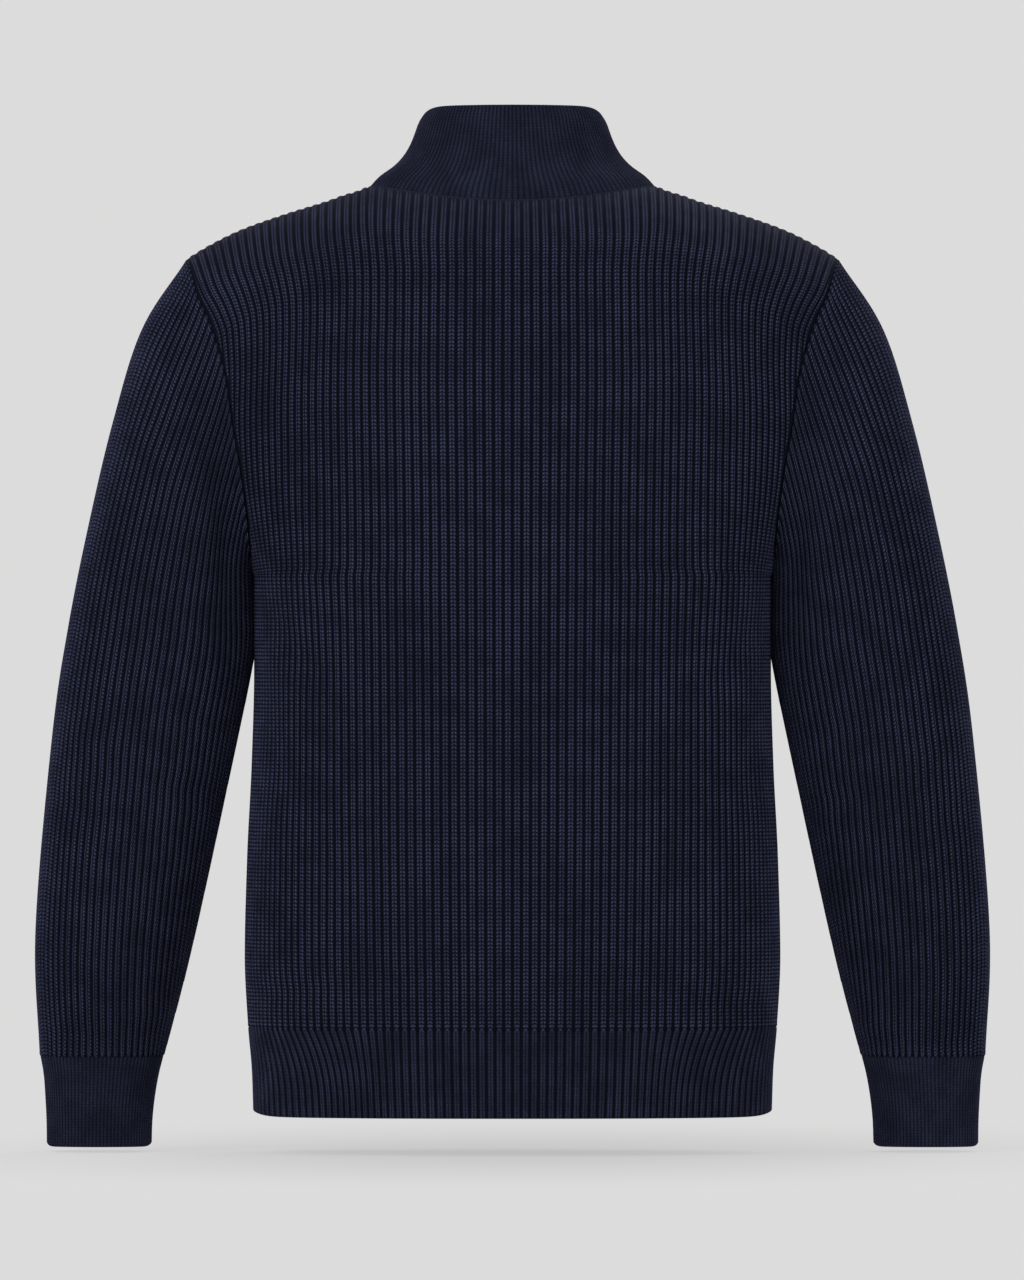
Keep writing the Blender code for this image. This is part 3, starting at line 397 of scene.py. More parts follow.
def ring_points(row, shares):
    """A sleeve ring from its under point over the back to its outer point and round the front:
    the superellipse |cos a|^(2/p), sin(a)^(2/p) on a tilted plane."""
    outer_x, outer_z, under_x, under_z, depth, middle = row[:6]
    a = np.linspace(0, math.pi, 241)
    c = np.cos(a)
    out = -np.sign(c) * np.abs(c) ** (2 / SLEEVE_POWER)
    deep = np.sin(a) ** (2 / SLEEVE_POWER)
    centre = np.array([(outer_x + under_x) / 2, middle, (outer_z + under_z) / 2])
    reach = np.array([(outer_x - under_x) / 2, 0.0, (outer_z - under_z) / 2])
    back = centre + out[:, None] * reach + deep[:, None] * np.array([0.0, depth, 0.0])
    front = centre + out[:, None] * reach - deep[:, None] * np.array([0.0, depth, 0.0])
    first = along(back, np.clip(shares * 2, 0, 1))
    second = along(front, np.clip(2 - shares * 2, 0, 1))
    return np.where((shares <= 0.5)[:, None], first, second)


def crowded(shares, kept):
    """A sleeve narrows towards the wrist, so ribs end at the underarm, where they keep a thin
    strip beside the seam.  The same soft minimum as on the body places them."""
    ribs = SLEEVE_RIBS / 2
    away = np.abs(1 - 2 * shares)
    limit = 1 - UNDER_STRIP * ribs * (1 - away)
    gap = (limit - away * ribs / kept) / UNDER_SOFT
    placed = np.where(away > 1 - 1e-9, 1.0, limit - UNDER_SOFT * np.logaddexp(0, gap))
    placed = away + (placed - away) * ease((ribs - kept) / 0.3)
    return 0.5 + np.sign(shares - 0.5) * placed / 2

# %% [markdown]
# ## Nets of rows and columns
#
# A knit panel is worked out as a net.  Its columns are the ribs' own lines, eight to a rib, and
# its rows are a few millimetres apart, with more of them where an edge has to be round.  The
# rows are spread along each column by length, so that no part of the net is stretched.

# %% Spacing of the rows
ROW_STEP, NORMAL_SPAN, BLUR = 6.6, 3, 10
EDGE_ROWS = np.array([0.0, 0.12, 0.4, 0.8, 1.3, 1.9, 2.6, 3.5])


def respaced(fine, step, low_rows, high_rows):
    """A net moved along its columns: rows at the fixed distances low_rows from the first edge
    and high_rows from the last, and evenly by length between them."""
    run = run_length(fine[..., :3])
    total = run[-1]
    first = low_rows[-1] if len(low_rows) else 0.0
    last = high_rows[-1] if len(high_rows) else 0.0
    count = max(int(round((np.median(total) - first - last) / step)), 2)
    middle = np.linspace(0, 1, count + 1)[:, None] * (total - first - last)[None, :] + first
    parts = [middle]
    if len(low_rows):
        parts.insert(0, np.repeat(low_rows[:-1, None], len(total), axis=1))
    if len(high_rows):
        parts.append(total[None, :] - high_rows[:-1][::-1, None])
    wanted = np.concatenate(parts)
    net = np.empty((len(wanted), *fine.shape[1:]))
    for c in range(fine.shape[1]):
        for k in range(fine.shape[2]):
            net[:, c, k] = np.interp(wanted[:, c], run[:, c], fine[:, c, k])
    return net


def mirrored(points):
    """The other side: x changes its sign."""
    return points * np.array([-1.0, 1.0, 1.0])


def both_ways(values):
    """Values that run to the centre, and back again."""
    return np.concatenate([values, values[:-1][::-1]])


def net_normals(net, closed):
    """Cross product of the way across, over a few columns each side, and the way along.  It is
    summed over a band of columns before it is scaled to length 1, so the thin strips beside the
    seams, whose columns nearly touch, take their direction from the full ribs beside them."""
    place = np.arange(net.shape[1])
    if closed:
        after, before = (place + NORMAL_SPAN) % len(place), place - NORMAL_SPAN
    else:
        after = np.minimum(place + NORMAL_SPAN, len(place) - 1)
        before = np.maximum(place - NORMAL_SPAN, 0)
    raw = np.cross(net[:, after] - net[:, before], np.gradient(net, axis=0))
    wide = np.pad(raw, ((0, 0), (BLUR, BLUR), (0, 0)), mode="wrap" if closed else "edge")
    total = np.cumsum(np.pad(wide, ((0, 0), (1, 0), (0, 0))), axis=1)
    return unit(total[:, 2 * BLUR + 1 :] - total[:, : -2 * BLUR - 1])


# %% Ribs across a panel
def columns(ribs, phases, closed=False):
    """Rib count at each column: every rib has one column at each phase, 0 being its groove."""
    turn = (np.arange(ribs)[:, None] + phases[None, :]).ravel()
    return turn if closed else np.append(turn, ribs)


back_turn = columns(BACK_RIBS // 2, PHASES_8)
front_turn = columns(FRONT_RIBS, PHASES_8)
sleeve_turn = columns(SLEEVE_RIBS, PHASES_8, closed=True)
print("columns", len(back_turn) * 2 - 1, len(front_turn), len(sleeve_turn))


# %% The body's nets
def panel_net(turn, ribs, side):
    """One half of a panel: the torso formula at many levels, respaced below and above the
    armpit."""
    shares = turn / ribs
    low = np.stack([torso(level, shares, side) for level in np.linspace(0, 1, 91)])
    quick = 1 + 0.3 * np.linspace(0, 1, 40, endpoint=False) ** 2
    levels = np.concatenate([quick, np.linspace(1.3, 3, 140)])
    high = np.stack([torso(level, shares, side) for level in levels])
    none = np.empty(0)
    low = respaced(low, ROW_STEP, EDGE_ROWS, none)
    high = respaced(high, ROW_STEP, none, EDGE_ROWS)
    return np.concatenate([low, high[1:]]), len(low) - 1


back_half, back_armpit = panel_net(back_turn, BACK_RIBS // 2, 1)
front_half, front_armpit = panel_net(front_turn, FRONT_RIBS, -1)
print("body rows", len(back_half), len(front_half), "armpit rows", back_armpit, front_armpit)

# %% The sleeve's net
arm_back = back_half[back_armpit:, -1]
arm_front = front_half[front_armpit:, -1]


def sleeve_head(shares):
    """The first ring lies on the armhole edges of the back and the front.  The ribs start
    further up the armhole than they run on, by a sine, so they leave the seam steeply."""
    shares = shares + SLEEVE_LEAN * np.sin(math.tau * shares)
    first = along(arm_back, np.clip(shares * 2, 0, 1))
    second = along(arm_front, np.clip(2 - shares * 2, 0, 1))
    return np.where((shares <= 0.5)[:, None], first, second)


def through(rings, count):
    """Catmull-Rom curves down the columns of a stack of rings, count points to a span."""
    padded = np.concatenate([2 * rings[:1] - rings[1:2], rings, 2 * rings[-1:] - rings[-2:-1]])
    u = (np.arange(count) / count)[:, None, None]
    spans = []
    for i in range(len(rings) - 1):
        a, b, c, d = padded[i : i + 4]
        slope_b, slope_c = (c - a) / 2, (d - b) / 2
        spans.append(
            (2 * u**3 - 3 * u**2 + 1) * b
            + (u**3 - 2 * u**2 + u) * slope_b
            + (3 * u**2 - 2 * u**3) * c
            + (u**3 - u**2) * slope_c
        )
    return np.concatenate(spans + [rings[-1:]])


sleeve_shares = sleeve_turn / SLEEVE_RIBS
round_shares = np.append(sleeve_shares, 1.0)
rings = [sleeve_head(sleeve_shares)] + [ring_points(row, sleeve_shares) for row in SLEEVE]
fine = through(np.stack(rings), 40)
fine = np.concatenate([fine, net_normals(fine, True)], axis=2)
kept_ribs = np.array([SLEEVE_RIBS / 2] + [row[6] for row in SLEEVE])
kept_ribs = through(kept_ribs[:, None, None], 40)[:, 0, 0]
placed = [
    carried(crowded(sleeve_shares, kept), round_shares, np.concatenate([row, row[:1]]))
    for row, kept in zip(fine, kept_ribs)
]
fine = respaced(np.stack(placed), ROW_STEP, EDGE_ROWS, EDGE_ROWS)
sleeve_net, sleeve_normals = fine[..., :3], unit(fine[..., 3:])
print("sleeve rows", sleeve_net.shape[0])

# %% The nets of the hem, the cuff and the collar
HEM_CORNER, CUFF_CORNER, CUFF_RISE, ROUND_POWER = 3.2, 2.0, 50.0, 30
cuff_turn = columns(CUFF_RIBS, PHASES_6, closed=True)
collar_turn = columns(COLLAR_RIBS // 2, PHASES_6)


def hem_row(height):
    """One side of the hem at a height, from the zip edge round to the centre back."""
    level = (height - HEM_JOIN) / (ARMPIT - HEM_JOIN)
    down = HEM_LEAN * (1 - np.clip(1 - (HEM_JOIN - height) / HEM_LEAN_DOWN, 0, 1) ** 2)
    halves = []
    for side, turn in ((-1, front_turn / FRONT_RIBS), (1, back_turn / (BACK_RIBS / 2))):
        lean = down * np.sin(math.pi * np.clip((turn - 0.3) / 0.7, 0, 1)) ** 2
        row = torso(level, turn - lean, side)
        lift = HEM_CORNER * (row[:, 0] / row[-1, 0]) ** ROUND_POWER
        row[:, 2] += lift * (HEM_JOIN - height) / (HEM_JOIN - HEM_BOTTOM)
        halves.append(row)
    return np.concatenate([halves[0], halves[1][::-1][1:]])


hem_half = np.stack([hem_row(height) for height in np.linspace(HEM_BOTTOM, HEM_JOIN, 40)])
hem_half = respaced(hem_half, ROW_STEP, EDGE_ROWS, EDGE_ROWS)
cuff_shares = cuff_turn / CUFF_RIBS
cuff_net = through(np.stack([ring_points(row, cuff_shares) for row in CUFF]), 12)
outer, under = CUFF[-1][0], CUFF[-1][2]
share = np.clip(np.abs(cuff_net[..., 0] - (outer + under) / 2) / ((outer - under) / 2), 0, 1)
rounded = CUFF_CORNER * share**ROUND_POWER
cuff_net[..., 2] += rounded * ease((CUFF[1][1] - cuff_net[..., 2]) / CUFF_RISE)
cuff_net = respaced(cuff_net, ROW_STEP, EDGE_ROWS, EDGE_ROWS)
collar_shares = collar_turn / (COLLAR_RIBS / 2)
collar_half = np.stack([collar(collar_shares, rise) for rise in np.linspace(0, 1, 41)])
collar_half = respaced(collar_half, 4.0, EDGE_ROWS, EDGE_ROWS)
print("hem", hem_half.shape, "cuff", cuff_net.shape, "collar", collar_half.shape)

# %% [markdown]
# ## Seams
#
# Where two panels are sewn together both walls lean the same way, half between the two
# surfaces, so that they meet in one line and no light shows through.  At a seam the ribs sink
# into a narrow groove, and the body's ribs end in round loops where the hem starts.


# %% Normals that the seams share
def whole(left):
    """Joins a left half that starts at the centre to its mirror image."""
    return np.concatenate([mirrored(left[:, :0:-1]), left], axis=1)


def from_centre(net):
    """Joins a left half that ends at the centre back to its mirror image."""
    return np.concatenate([net, mirrored(net[:, :-1][:, ::-1])], axis=1)


back_net = whole(back_half)
back_normals = -net_normals(back_net, False)
front_normals = net_normals(front_half, False)
collar_net, hem_net = from_centre(collar_half), from_centre(hem_half)
collar_normals, hem_normals = net_normals(collar_net, False), net_normals(hem_net, False)
cuff_normals = net_normals(cuff_net, True)

# the armhole
FULL_RIB = 9              # this many columns in from the seam the normals are those of full ribs
started = round_shares + SLEEVE_LEAN * np.sin(math.tau * round_shares)
first_normals = np.concatenate([sleeve_normals[0], sleeve_normals[0, :1]])
shared_at = {}
for side, edge, normals in ((1, arm_back, back_normals), (-1, arm_front, front_normals)):
    run = run_length(edge)
    at = run / run[-1] / 2 if side > 0 else 1 - run / run[-1] / 2
    row = back_armpit if side > 0 else front_armpit
    shared = unit(normals[row:, -FULL_RIB] + carried(at, started, first_normals))
    shared[0] = (0.0, 0.0, -1.0)
    shared_at[side] = (at, shared)
tip = unit(shared_at[1][1][-1] + shared_at[-1][1][-1])
for side in (1, -1):
    shared_at[side][1][-1] = tip
back_normals[back_armpit:, -1] = shared_at[1][1]
back_normals[back_armpit:, 0] = mirrored(shared_at[1][1])
front_normals[front_armpit:, -1] = shared_at[-1][1]
at, shared = (np.concatenate([shared_at[1][k], shared_at[-1][k][:-1][::-1]]) for k in (0, 1))
sleeve_normals[0] = unit(carried(started[:-1], at, shared))

# the side seams
back_normals[:back_armpit, -1] = (1.0, 0.0, 0.0)
back_normals[:back_armpit, 0] = (-1.0, 0.0, 0.0)
front_normals[:front_armpit, -1] = (1.0, 0.0, 0.0)

# the neckline
corner_back, corner_front = NECK_RIBS[1] * len(PHASES_8), NECK_RIBS[-1] * len(PHASES_8)
lines = {side: neck_line(side, START[side]) for side in (1, -1)}
runs = {side: run_length(line[2]) for side, line in lines.items()}
total = runs[-1][-1] + runs[1][-1]
half_back = back_normals[:, len(back_turn) - 1 :]
at_front = np.interp(front_half[-1, : corner_front + 1, 0], lines[-1][0], runs[-1]) / total
at_back = 1 - np.interp(back_half[-1, : corner_back + 1, 0], lines[1][0], runs[1]) / total
at = np.concatenate([at_front, at_back[::-1][1:]])
body = np.concatenate(
    [front_normals[-1, : corner_front + 1], half_back[-1, : corner_back + 1][::-1][1:]]
)
shared = unit(carried(collar_shares, at, body) + collar_normals[0, : len(collar_turn)])
shared[-1, 0] = 0.0
there = carried(at, collar_shares, shared)
collar_normals[0] = from_centre(shared[None])[0]
front_normals[-1, : corner_front + 1] = unit(there[: corner_front + 1])
half_back[-1, : corner_back + 1] = unit(there[corner_front:][::-1])
back_normals[-1] = np.concatenate([mirrored(half_back[-1][:0:-1]), half_back[-1]])

# the shoulder seams
x_back, x_front = back_half[-1, corner_back:, 0], front_half[-1, corner_front:, 0]
seam = carried(x_front, x_back, half_back[-1, corner_back:])
front_normals[-1, corner_front:] = unit(seam)
print("seams shared")

# %% [markdown]
# ## Creases
#
# A thick rib knit drapes softly: a long shallow dip at the bend of each arm, short folds under
# the arms, and a slight bag over the hem and the cuffs.  Each crease is one row of a table:
# where its middle is, how it slants, how long, wide and deep it is.  The front has
# creases of the same kind, because the photograph does not show it.

# %% Listed creases
SLEEVE_CREASES = (
    # side, x, z, slant in degrees, half length, half width, depth (below zero is a ridge)
    (1, 214, -250, 84, 92, 15, 8),
    (1, 238, -286, 70, 60, 12, 2.4),
    (1, 252, -236, 68, 56, 12, -1.6),
    (1, 262, -392, 12, 34, 10, 2.2),
    (1, 292, -420, 20, 38, 11, -2),
    (1, 268, -446, 8, 42, 9, 2.6),
    (1, 306, -470, 24, 36, 12, 1.6),
    (1, 282, -502, -6, 34, 10, -1.5),
    (1, 300, -560, 10, 30, 13, 1.5),
    (1, 284, -618, -4, 36, 9, -1.4),
    (1, 318, -634, 6, 26, 7, 1.5),
    (-1, 208, -250, 84, 92, 15, 7),
    (-1, 236, -280, 62, 50, 10, 2.6),
    (-1, 258, -400, -8, 38, 9, 3),
    (-1, 280, -424, -16, 42, 10, -2.2),
    (-1, 262, -452, -4, 40, 8, 3.2),
    (-1, 296, -480, -18, 36, 11, 2),
    (-1, 290, -548, 8, 32, 12, 1.6),
    (-1, 300, -622, 4, 36, 8.5, -1.4),
)
BODY_CREASES = (
    (1, 168, -338, 52, 42, 13, 2.2),
    (1, 150, -262, 74, 52, 15, -2),
    (1, 186, -398, 78, 60, 12, 2),
    (1, 96, -430, 84, 90, 22, -1.5),
    (1, 34, -356, 86, 86, 26, 1.6),
    (1, 122, -540, 80, 70, 18, 1.6),
    (1, 58, -590, 4, 58, 10, 1.3),
    (1, 164, -600, -6, 40, 9, 1.5),
    (1, 10, -500, 82, 80, 24, -1.3),
    (1, 70, -110, 30, 46, 14, 1.2),
    (-1, 166, -318, 48, 46, 13, 2.6),
    (-1, 150, -240, 68, 54, 14, -2),
    (-1, 110, -200, 60, 44, 14, 1.6),
    (-1, 182, -402, 80, 60, 12, 1.8),
    (-1, 92, -470, 82, 90, 20, 1.5),
    (-1, 140, -560, 84, 70, 16, -1.5),
    (-1, 84, -594, -4, 54, 9, 1.3),
)
UNEVEN = 0.82             # the right side's creases are this strong, and lie a little lower
RIGHT_DROP = 9.0
SEAM_CALM = 7.0


def creased(net, normals, table, mirror=False):
    """The net moved along its normals: each crease is a bell of v / half width across times a
    flatter bell, exp(-u^4), along its length.  It fades out where the knit turns away and in
    the last millimetres before a seam."""
    moved = np.zeros(net.shape[:2])
    for side, x, z, slant, length, width, depth in table:
        for flip in (1, -1):
            other = (flip < 0) != mirror
            dx = net[..., 0] * flip - x
            dz = net[..., 2] - z + (RIGHT_DROP if other else 0.0)
            cos, sin = math.cos(math.radians(slant)), math.sin(math.radians(slant))
            u, v = (dx * cos + dz * sin) / length, (dz * cos - dx * sin) / width
            facing = ease(0.15 + normals[..., 1] * side * 1.2)
            strength = depth * (UNEVEN if other else 1.0)
            moved += strength * facing * np.exp(-(v**2) - u**4)
    run, across = run_length(net), run_length(net.swapaxes(0, 1)).swapaxes(0, 1)
    to_edge = np.minimum(run, run[-1] - run)
    if table is BODY_CREASES:
        to_edge = np.minimum(to_edge, np.minimum(across, across[:, -1:] - across))
    return net - normals * (moved * ease(to_edge / SEAM_CALM))[..., None]

# %% [markdown]
# ## From a net to a knit wall
#
# Two things make the rib: the outer face dips between the ribs, and its yarn is drawn by the
# material.  The dip is worked out from the column's place in its rib, so every rib is real
# relief that a printer or a physics model can use.  At an edge the dip turns into a quarter
# circle, so a cut edge looks rolled and a seam looks pressed in.


# %% The rib's profile
def ending(sink, reach, loop=0.0, roll=0.0, dark=0.0, calm=0.0):
    """How a panel's end is finished: how deep it sinks and from how far off, how round the ribs
    end, how far the inside rolls over, how much painted shade darkens it, and how long the ribs
    stay low."""
    return {"sink": sink, "reach": reach, "loop": loop, "roll": roll, "dark": dark, "calm": calm}


def edge(thickness):
    """A rolled edge: outside and inside both run to the middle of the wall."""
    half = thickness / 2
    return ending(half, half, roll=half - 0.06)


# The dark value of each ending is painted seam shade: it draws the ribs next to a seam or a join
# towards the groove's dark colour.
SEAM = ending(2.0, 1.7, dark=0.7)
TOP_SEAM = ending(2.0, 1.7, dark=0.6, calm=46.0)
JOIN = ending(0.4, 0.6, dark=0.2)
LOOPED = ending(0.7, 0.8, loop=0.5, dark=0.3)
HEADED = ending(2.1, 2.0, loop=0.55, dark=1.0, calm=12.0)
LOOP_REACH, CALM_LEFT = 4.2, 0.28
WALE_DIP, WALE_WIDTH = 0.13, 0.17         # the dip between a rib's two wales
FLAT_PITCH, PITCH_RANGE = 0.8, 2.4        # a rib narrower than this is drawn and made flat


def quarter(distance, reach):
    """1 at the edge and 0 from reach inwards, along a quarter circle."""
    return 1 - np.sqrt(1 - np.clip(1 - distance / reach, 0, 1) ** 2)


def rib_height(a):
    """How far a place lies under the rib's top, from 0 on the top to 1 in the groove: a smooth
    step in the distance a from the rib's middle, with a slight dip between its two wales."""
    dip = WALE_DIP * np.exp(-((a / WALE_WIDTH) ** 2))
    return np.maximum(ease((a - RIB_CREST) / (RIB_FOOT - RIB_CREST)), dip)


def rib_pitch(net, turn, closed):
    """Millimetres to a rib at every point of a net, measured square to the ribs."""
    if closed:
        ends = np.concatenate([net[:, -1:], net, net[:, :1]], axis=1)
        steps = np.concatenate([turn[-1:] - SLEEVE_RIBS, turn, turn[:1] + SLEEVE_RIBS])
        steps = np.mod(np.diff(steps), 1.0)
    else:
        ends = np.concatenate([net[:, :1], net, net[:, -1:]], axis=1)
        steps = np.abs(np.diff(np.concatenate([turn[:1], turn, turn[-1:]])))
    way = unit(np.gradient(ends, axis=0))[:, 1:]
    wide = np.diff(ends, axis=1)
    wide = np.linalg.norm(wide - way * (wide * way).sum(axis=-1, keepdims=True), axis=-1)
    return (wide[:, 1:] + wide[:, :-1]) / (steps[1:] + steps[:-1])


def ring_quads(rows, n):
    """Quads between rows of n points, where every row is a ring."""
    c = np.arange(n)
    d = (c + 1) % n
    r = np.arange(rows - 1)[:, None] * n
    return np.stack([r + c, r + d, r + n + d, r + n + c], axis=-1).reshape(-1, 4)


def wall_faces(rows, columns, step, closed):
    """Quads of the outer net, the inner net and the side edges, and one strip of many-cornered
    faces round each end."""
    inner = columns // step + (0 if closed else 1)
    base = rows * columns

    def grid(width, start):
        quads = ring_quads(rows, width).reshape(rows - 1, width, 4)
        return quads[:, : width if closed else -1].reshape(-1, 4) + start

    faces = [grid(columns, 0), grid(inner, base)[:, ::-1]]
    if not closed:
        r = np.arange(rows - 1)
        for c, k, flip in ((0, 0, False), (columns - 1, inner - 1, True)):
            near, far = r * columns + c, base + r * inner + k
            ring = (near, near + columns, far + inner, far)
            faces.append(np.stack(ring[::-1] if flip else ring, axis=-1))
    rims = []
    k = np.arange(inner if closed else inner - 1)[:, None]
    for r, flip in ((0, False), (rows - 1, True)):
        near = r * columns + (k * step + np.arange(step, -1, -1)) % columns
        far = base + r * inner + np.concatenate([k, (k + 1) % inner], axis=1)
        ring = np.concatenate([near, far], axis=1)
        rims.append(ring[:, ::-1] if flip else ring)
    return np.concatenate(faces), np.concatenate(rims)


def signed_volume(points, quads):
    """Sum of the tetrahedra from the origin to every quad's two triangles, over six."""
    a, b, c, d = (points[quads[:, i]] for i in range(4))
    return float(((a * np.cross(b, c)).sum() + (a * np.cross(c, d)).sum()) / 6)


def linked(name, points, faces, look, smoothed=True):
    """One object, from points in millimetres."""
    mesh = bpy.data.meshes.new(name)
    mesh.from_pydata((points * MM).tolist(), [], faces)
    if smoothed:
        mesh.shade_smooth()
    mesh.materials.append(look)
    piece = bpy.data.objects.new(name, mesh)
    bpy.context.scene.collection.objects.link(piece)
    mesh.calc_loop_triangles()
    low, high = np.round(points.min(0)), np.round(points.max(0))
    print(name, len(mesh.loop_triangles), "triangles", low, high)
    return piece


def knit(name, net, normals, turn, look, ends, depth, thickness, step, closed=False):
    """Builds one knit panel: the net's points moved in by the rib's dip, an inner net that lies
    one thickness under the ribs' tops, and the faces between them."""
    run = run_length(net)
    distances = (run, run[-1] - run)
    a = np.abs(2 * np.mod(turn, 1.0) - 1)[None, :]
    a = 1 - (1 - a) * ease((rib_pitch(net, turn, closed) - FLAT_PITCH) / PITCH_RANGE)
    loop = sum(end["loop"] * np.clip(1 - d / LOOP_REACH, 0, 1) for end, d in zip(ends, distances))
    drawn = np.clip(np.sqrt(a**2 + loop**2), 0, 1)
    sunk = depth * rib_height(drawn)
    for end, d in zip(ends, distances):
        if end["calm"]:
            sunk = sunk * (CALM_LEFT + (1 - CALM_LEFT) * ease(d / end["calm"]))
    rise = np.zeros_like(sunk)
    for end, d in zip(ends, distances):
        q = quarter(d, end["reach"])
        sunk = sunk + (end["sink"] - sunk) * q
        rise = rise + end["roll"] * q
        # painted shade beside the seam: the drawn place moves towards the groove, whose colour is
        # dark
        drawn = np.maximum(drawn, q * end["dark"])
    outer = net - normals * sunk[..., None]
    skip = slice(None, None, step)
    inner = net[:, skip] - normals[:, skip] * (thickness - rise[:, skip])[..., None]
    quads, rims = wall_faces(*net.shape[:2], step, closed)
    points = np.concatenate([outer.reshape(-1, 3), inner.reshape(-1, 3)])
    if signed_volume(points, quads) < 0:
        quads, rims = quads[:, ::-1], rims[:, ::-1]
    piece = linked(name, points, quads.tolist() + rims.tolist(), look)
    mesh = piece.data
    corner = np.empty(len(mesh.loops), np.int32)
    mesh.loops.foreach_get("vertex_index", corner)
    spare = np.zeros(inner.shape[0] * inner.shape[1])
    place = np.stack([np.append(drawn, spare), np.append(run, spare)], axis=1)
    mesh.uv_layers.new(name="knit").data.foreach_set("uv", place[corner].ravel().astype(np.float32))
    shown = mesh.attributes.new("pattern", "FLOAT", "POINT")
    shown.data.foreach_set("value", np.append(np.ones_like(run), spare).astype(np.float32))
    return piece

# %% [markdown]
# ## Cotton yarn as a material
#
# Every rib shows two columns of slanting stitches with a thin dark line between them, and a
# dark groove beside it.  The material draws them from the panel's own map, whose first value is
# the distance from the rib's middle and whose second is the length along the knit, so stitches
# follow the cloth wherever it bends.  The dark of the groove, of that line and of the gaps
# between stitches is painted shade on one navy yarn; the stitch pattern itself is the knit's
# own.  Noise on Object coordinates adds the fuzz of brushed cotton and the uneven dye of a
# washed sweater.


# %% A short way to write shader nodes
def add(tree, kind, *values, **settings):
    """Adds a node: settings are its properties, and values go to its inputs in order, where a
    socket is linked, a number is set and None is left alone."""
    node = tree.nodes.new("ShaderNode" + kind)
    for key, value in settings.items():
        setattr(node, key, value)
    for socket, value in zip(node.inputs, values):
        if isinstance(value, bpy.types.NodeSocket):
            tree.links.new(value, socket)
        elif value is not None:
            socket.default_value = value
    return node


def sums(tree, operation, *values):
    """One arithmetic node."""
    return add(tree, "Math", *values, operation=operation).outputs[0]


def ramp(tree, value, low, high, start=0.0, end=1.0):
    """A smooth step from start to end as the value goes from low to high."""
    kind = "SMOOTHSTEP"
    return add(tree, "MapRange", value, low, high, start, end, interpolation_type=kind).outputs[0]


def noise(tree, place, scale, detail=2.0):
    """Noise of about 0 to 1 on a place, with features 1 / scale metres apart."""
    return add(tree, "TexNoise", place, None, scale, detail).outputs[0]


def surface(name, roughness, metal=0.0):
    """A new material, with its node tree and its shader."""
    made = bpy.data.materials.new(name)
    made.use_nodes = True
    shader = made.node_tree.nodes["Principled BSDF"]
    shader.inputs["Roughness"].default_value = roughness
    shader.inputs["Metallic"].default_value = metal
    return made, made.node_tree, shader


def blend(tree, factor, dark, light):
    """A colour between two."""
    mix = add(tree, "Mix", factor, data_type="RGBA")
    mix.inputs[6].default_value, mix.inputs[7].default_value = dark, light
    return mix.outputs[2]


def finished(tree, shader, colour, height, strength, distance):
    """Gives a shader its colour and a bump from a height."""
    tree.links.new(colour, shader.inputs["Base Color"])
    bump = add(tree, "Bump", strength, distance)
    tree.links.new(height, bump.inputs["Height"])
    tree.links.new(bump.outputs[0], shader.inputs["Normal"])

# %% The knit's material
# the groove's colour is painted shade: the same navy yarn, drawn far darker where the groove is
# shaded; the stitch colour is the yarn's own
GROOVE_SHADE_NAVY = (0.0026, 0.0029, 0.0068, 1.0)
STITCH_NAVY = (0.043, 0.049, 0.098, 1.0)
INSIDE_LIGHT = 0.34


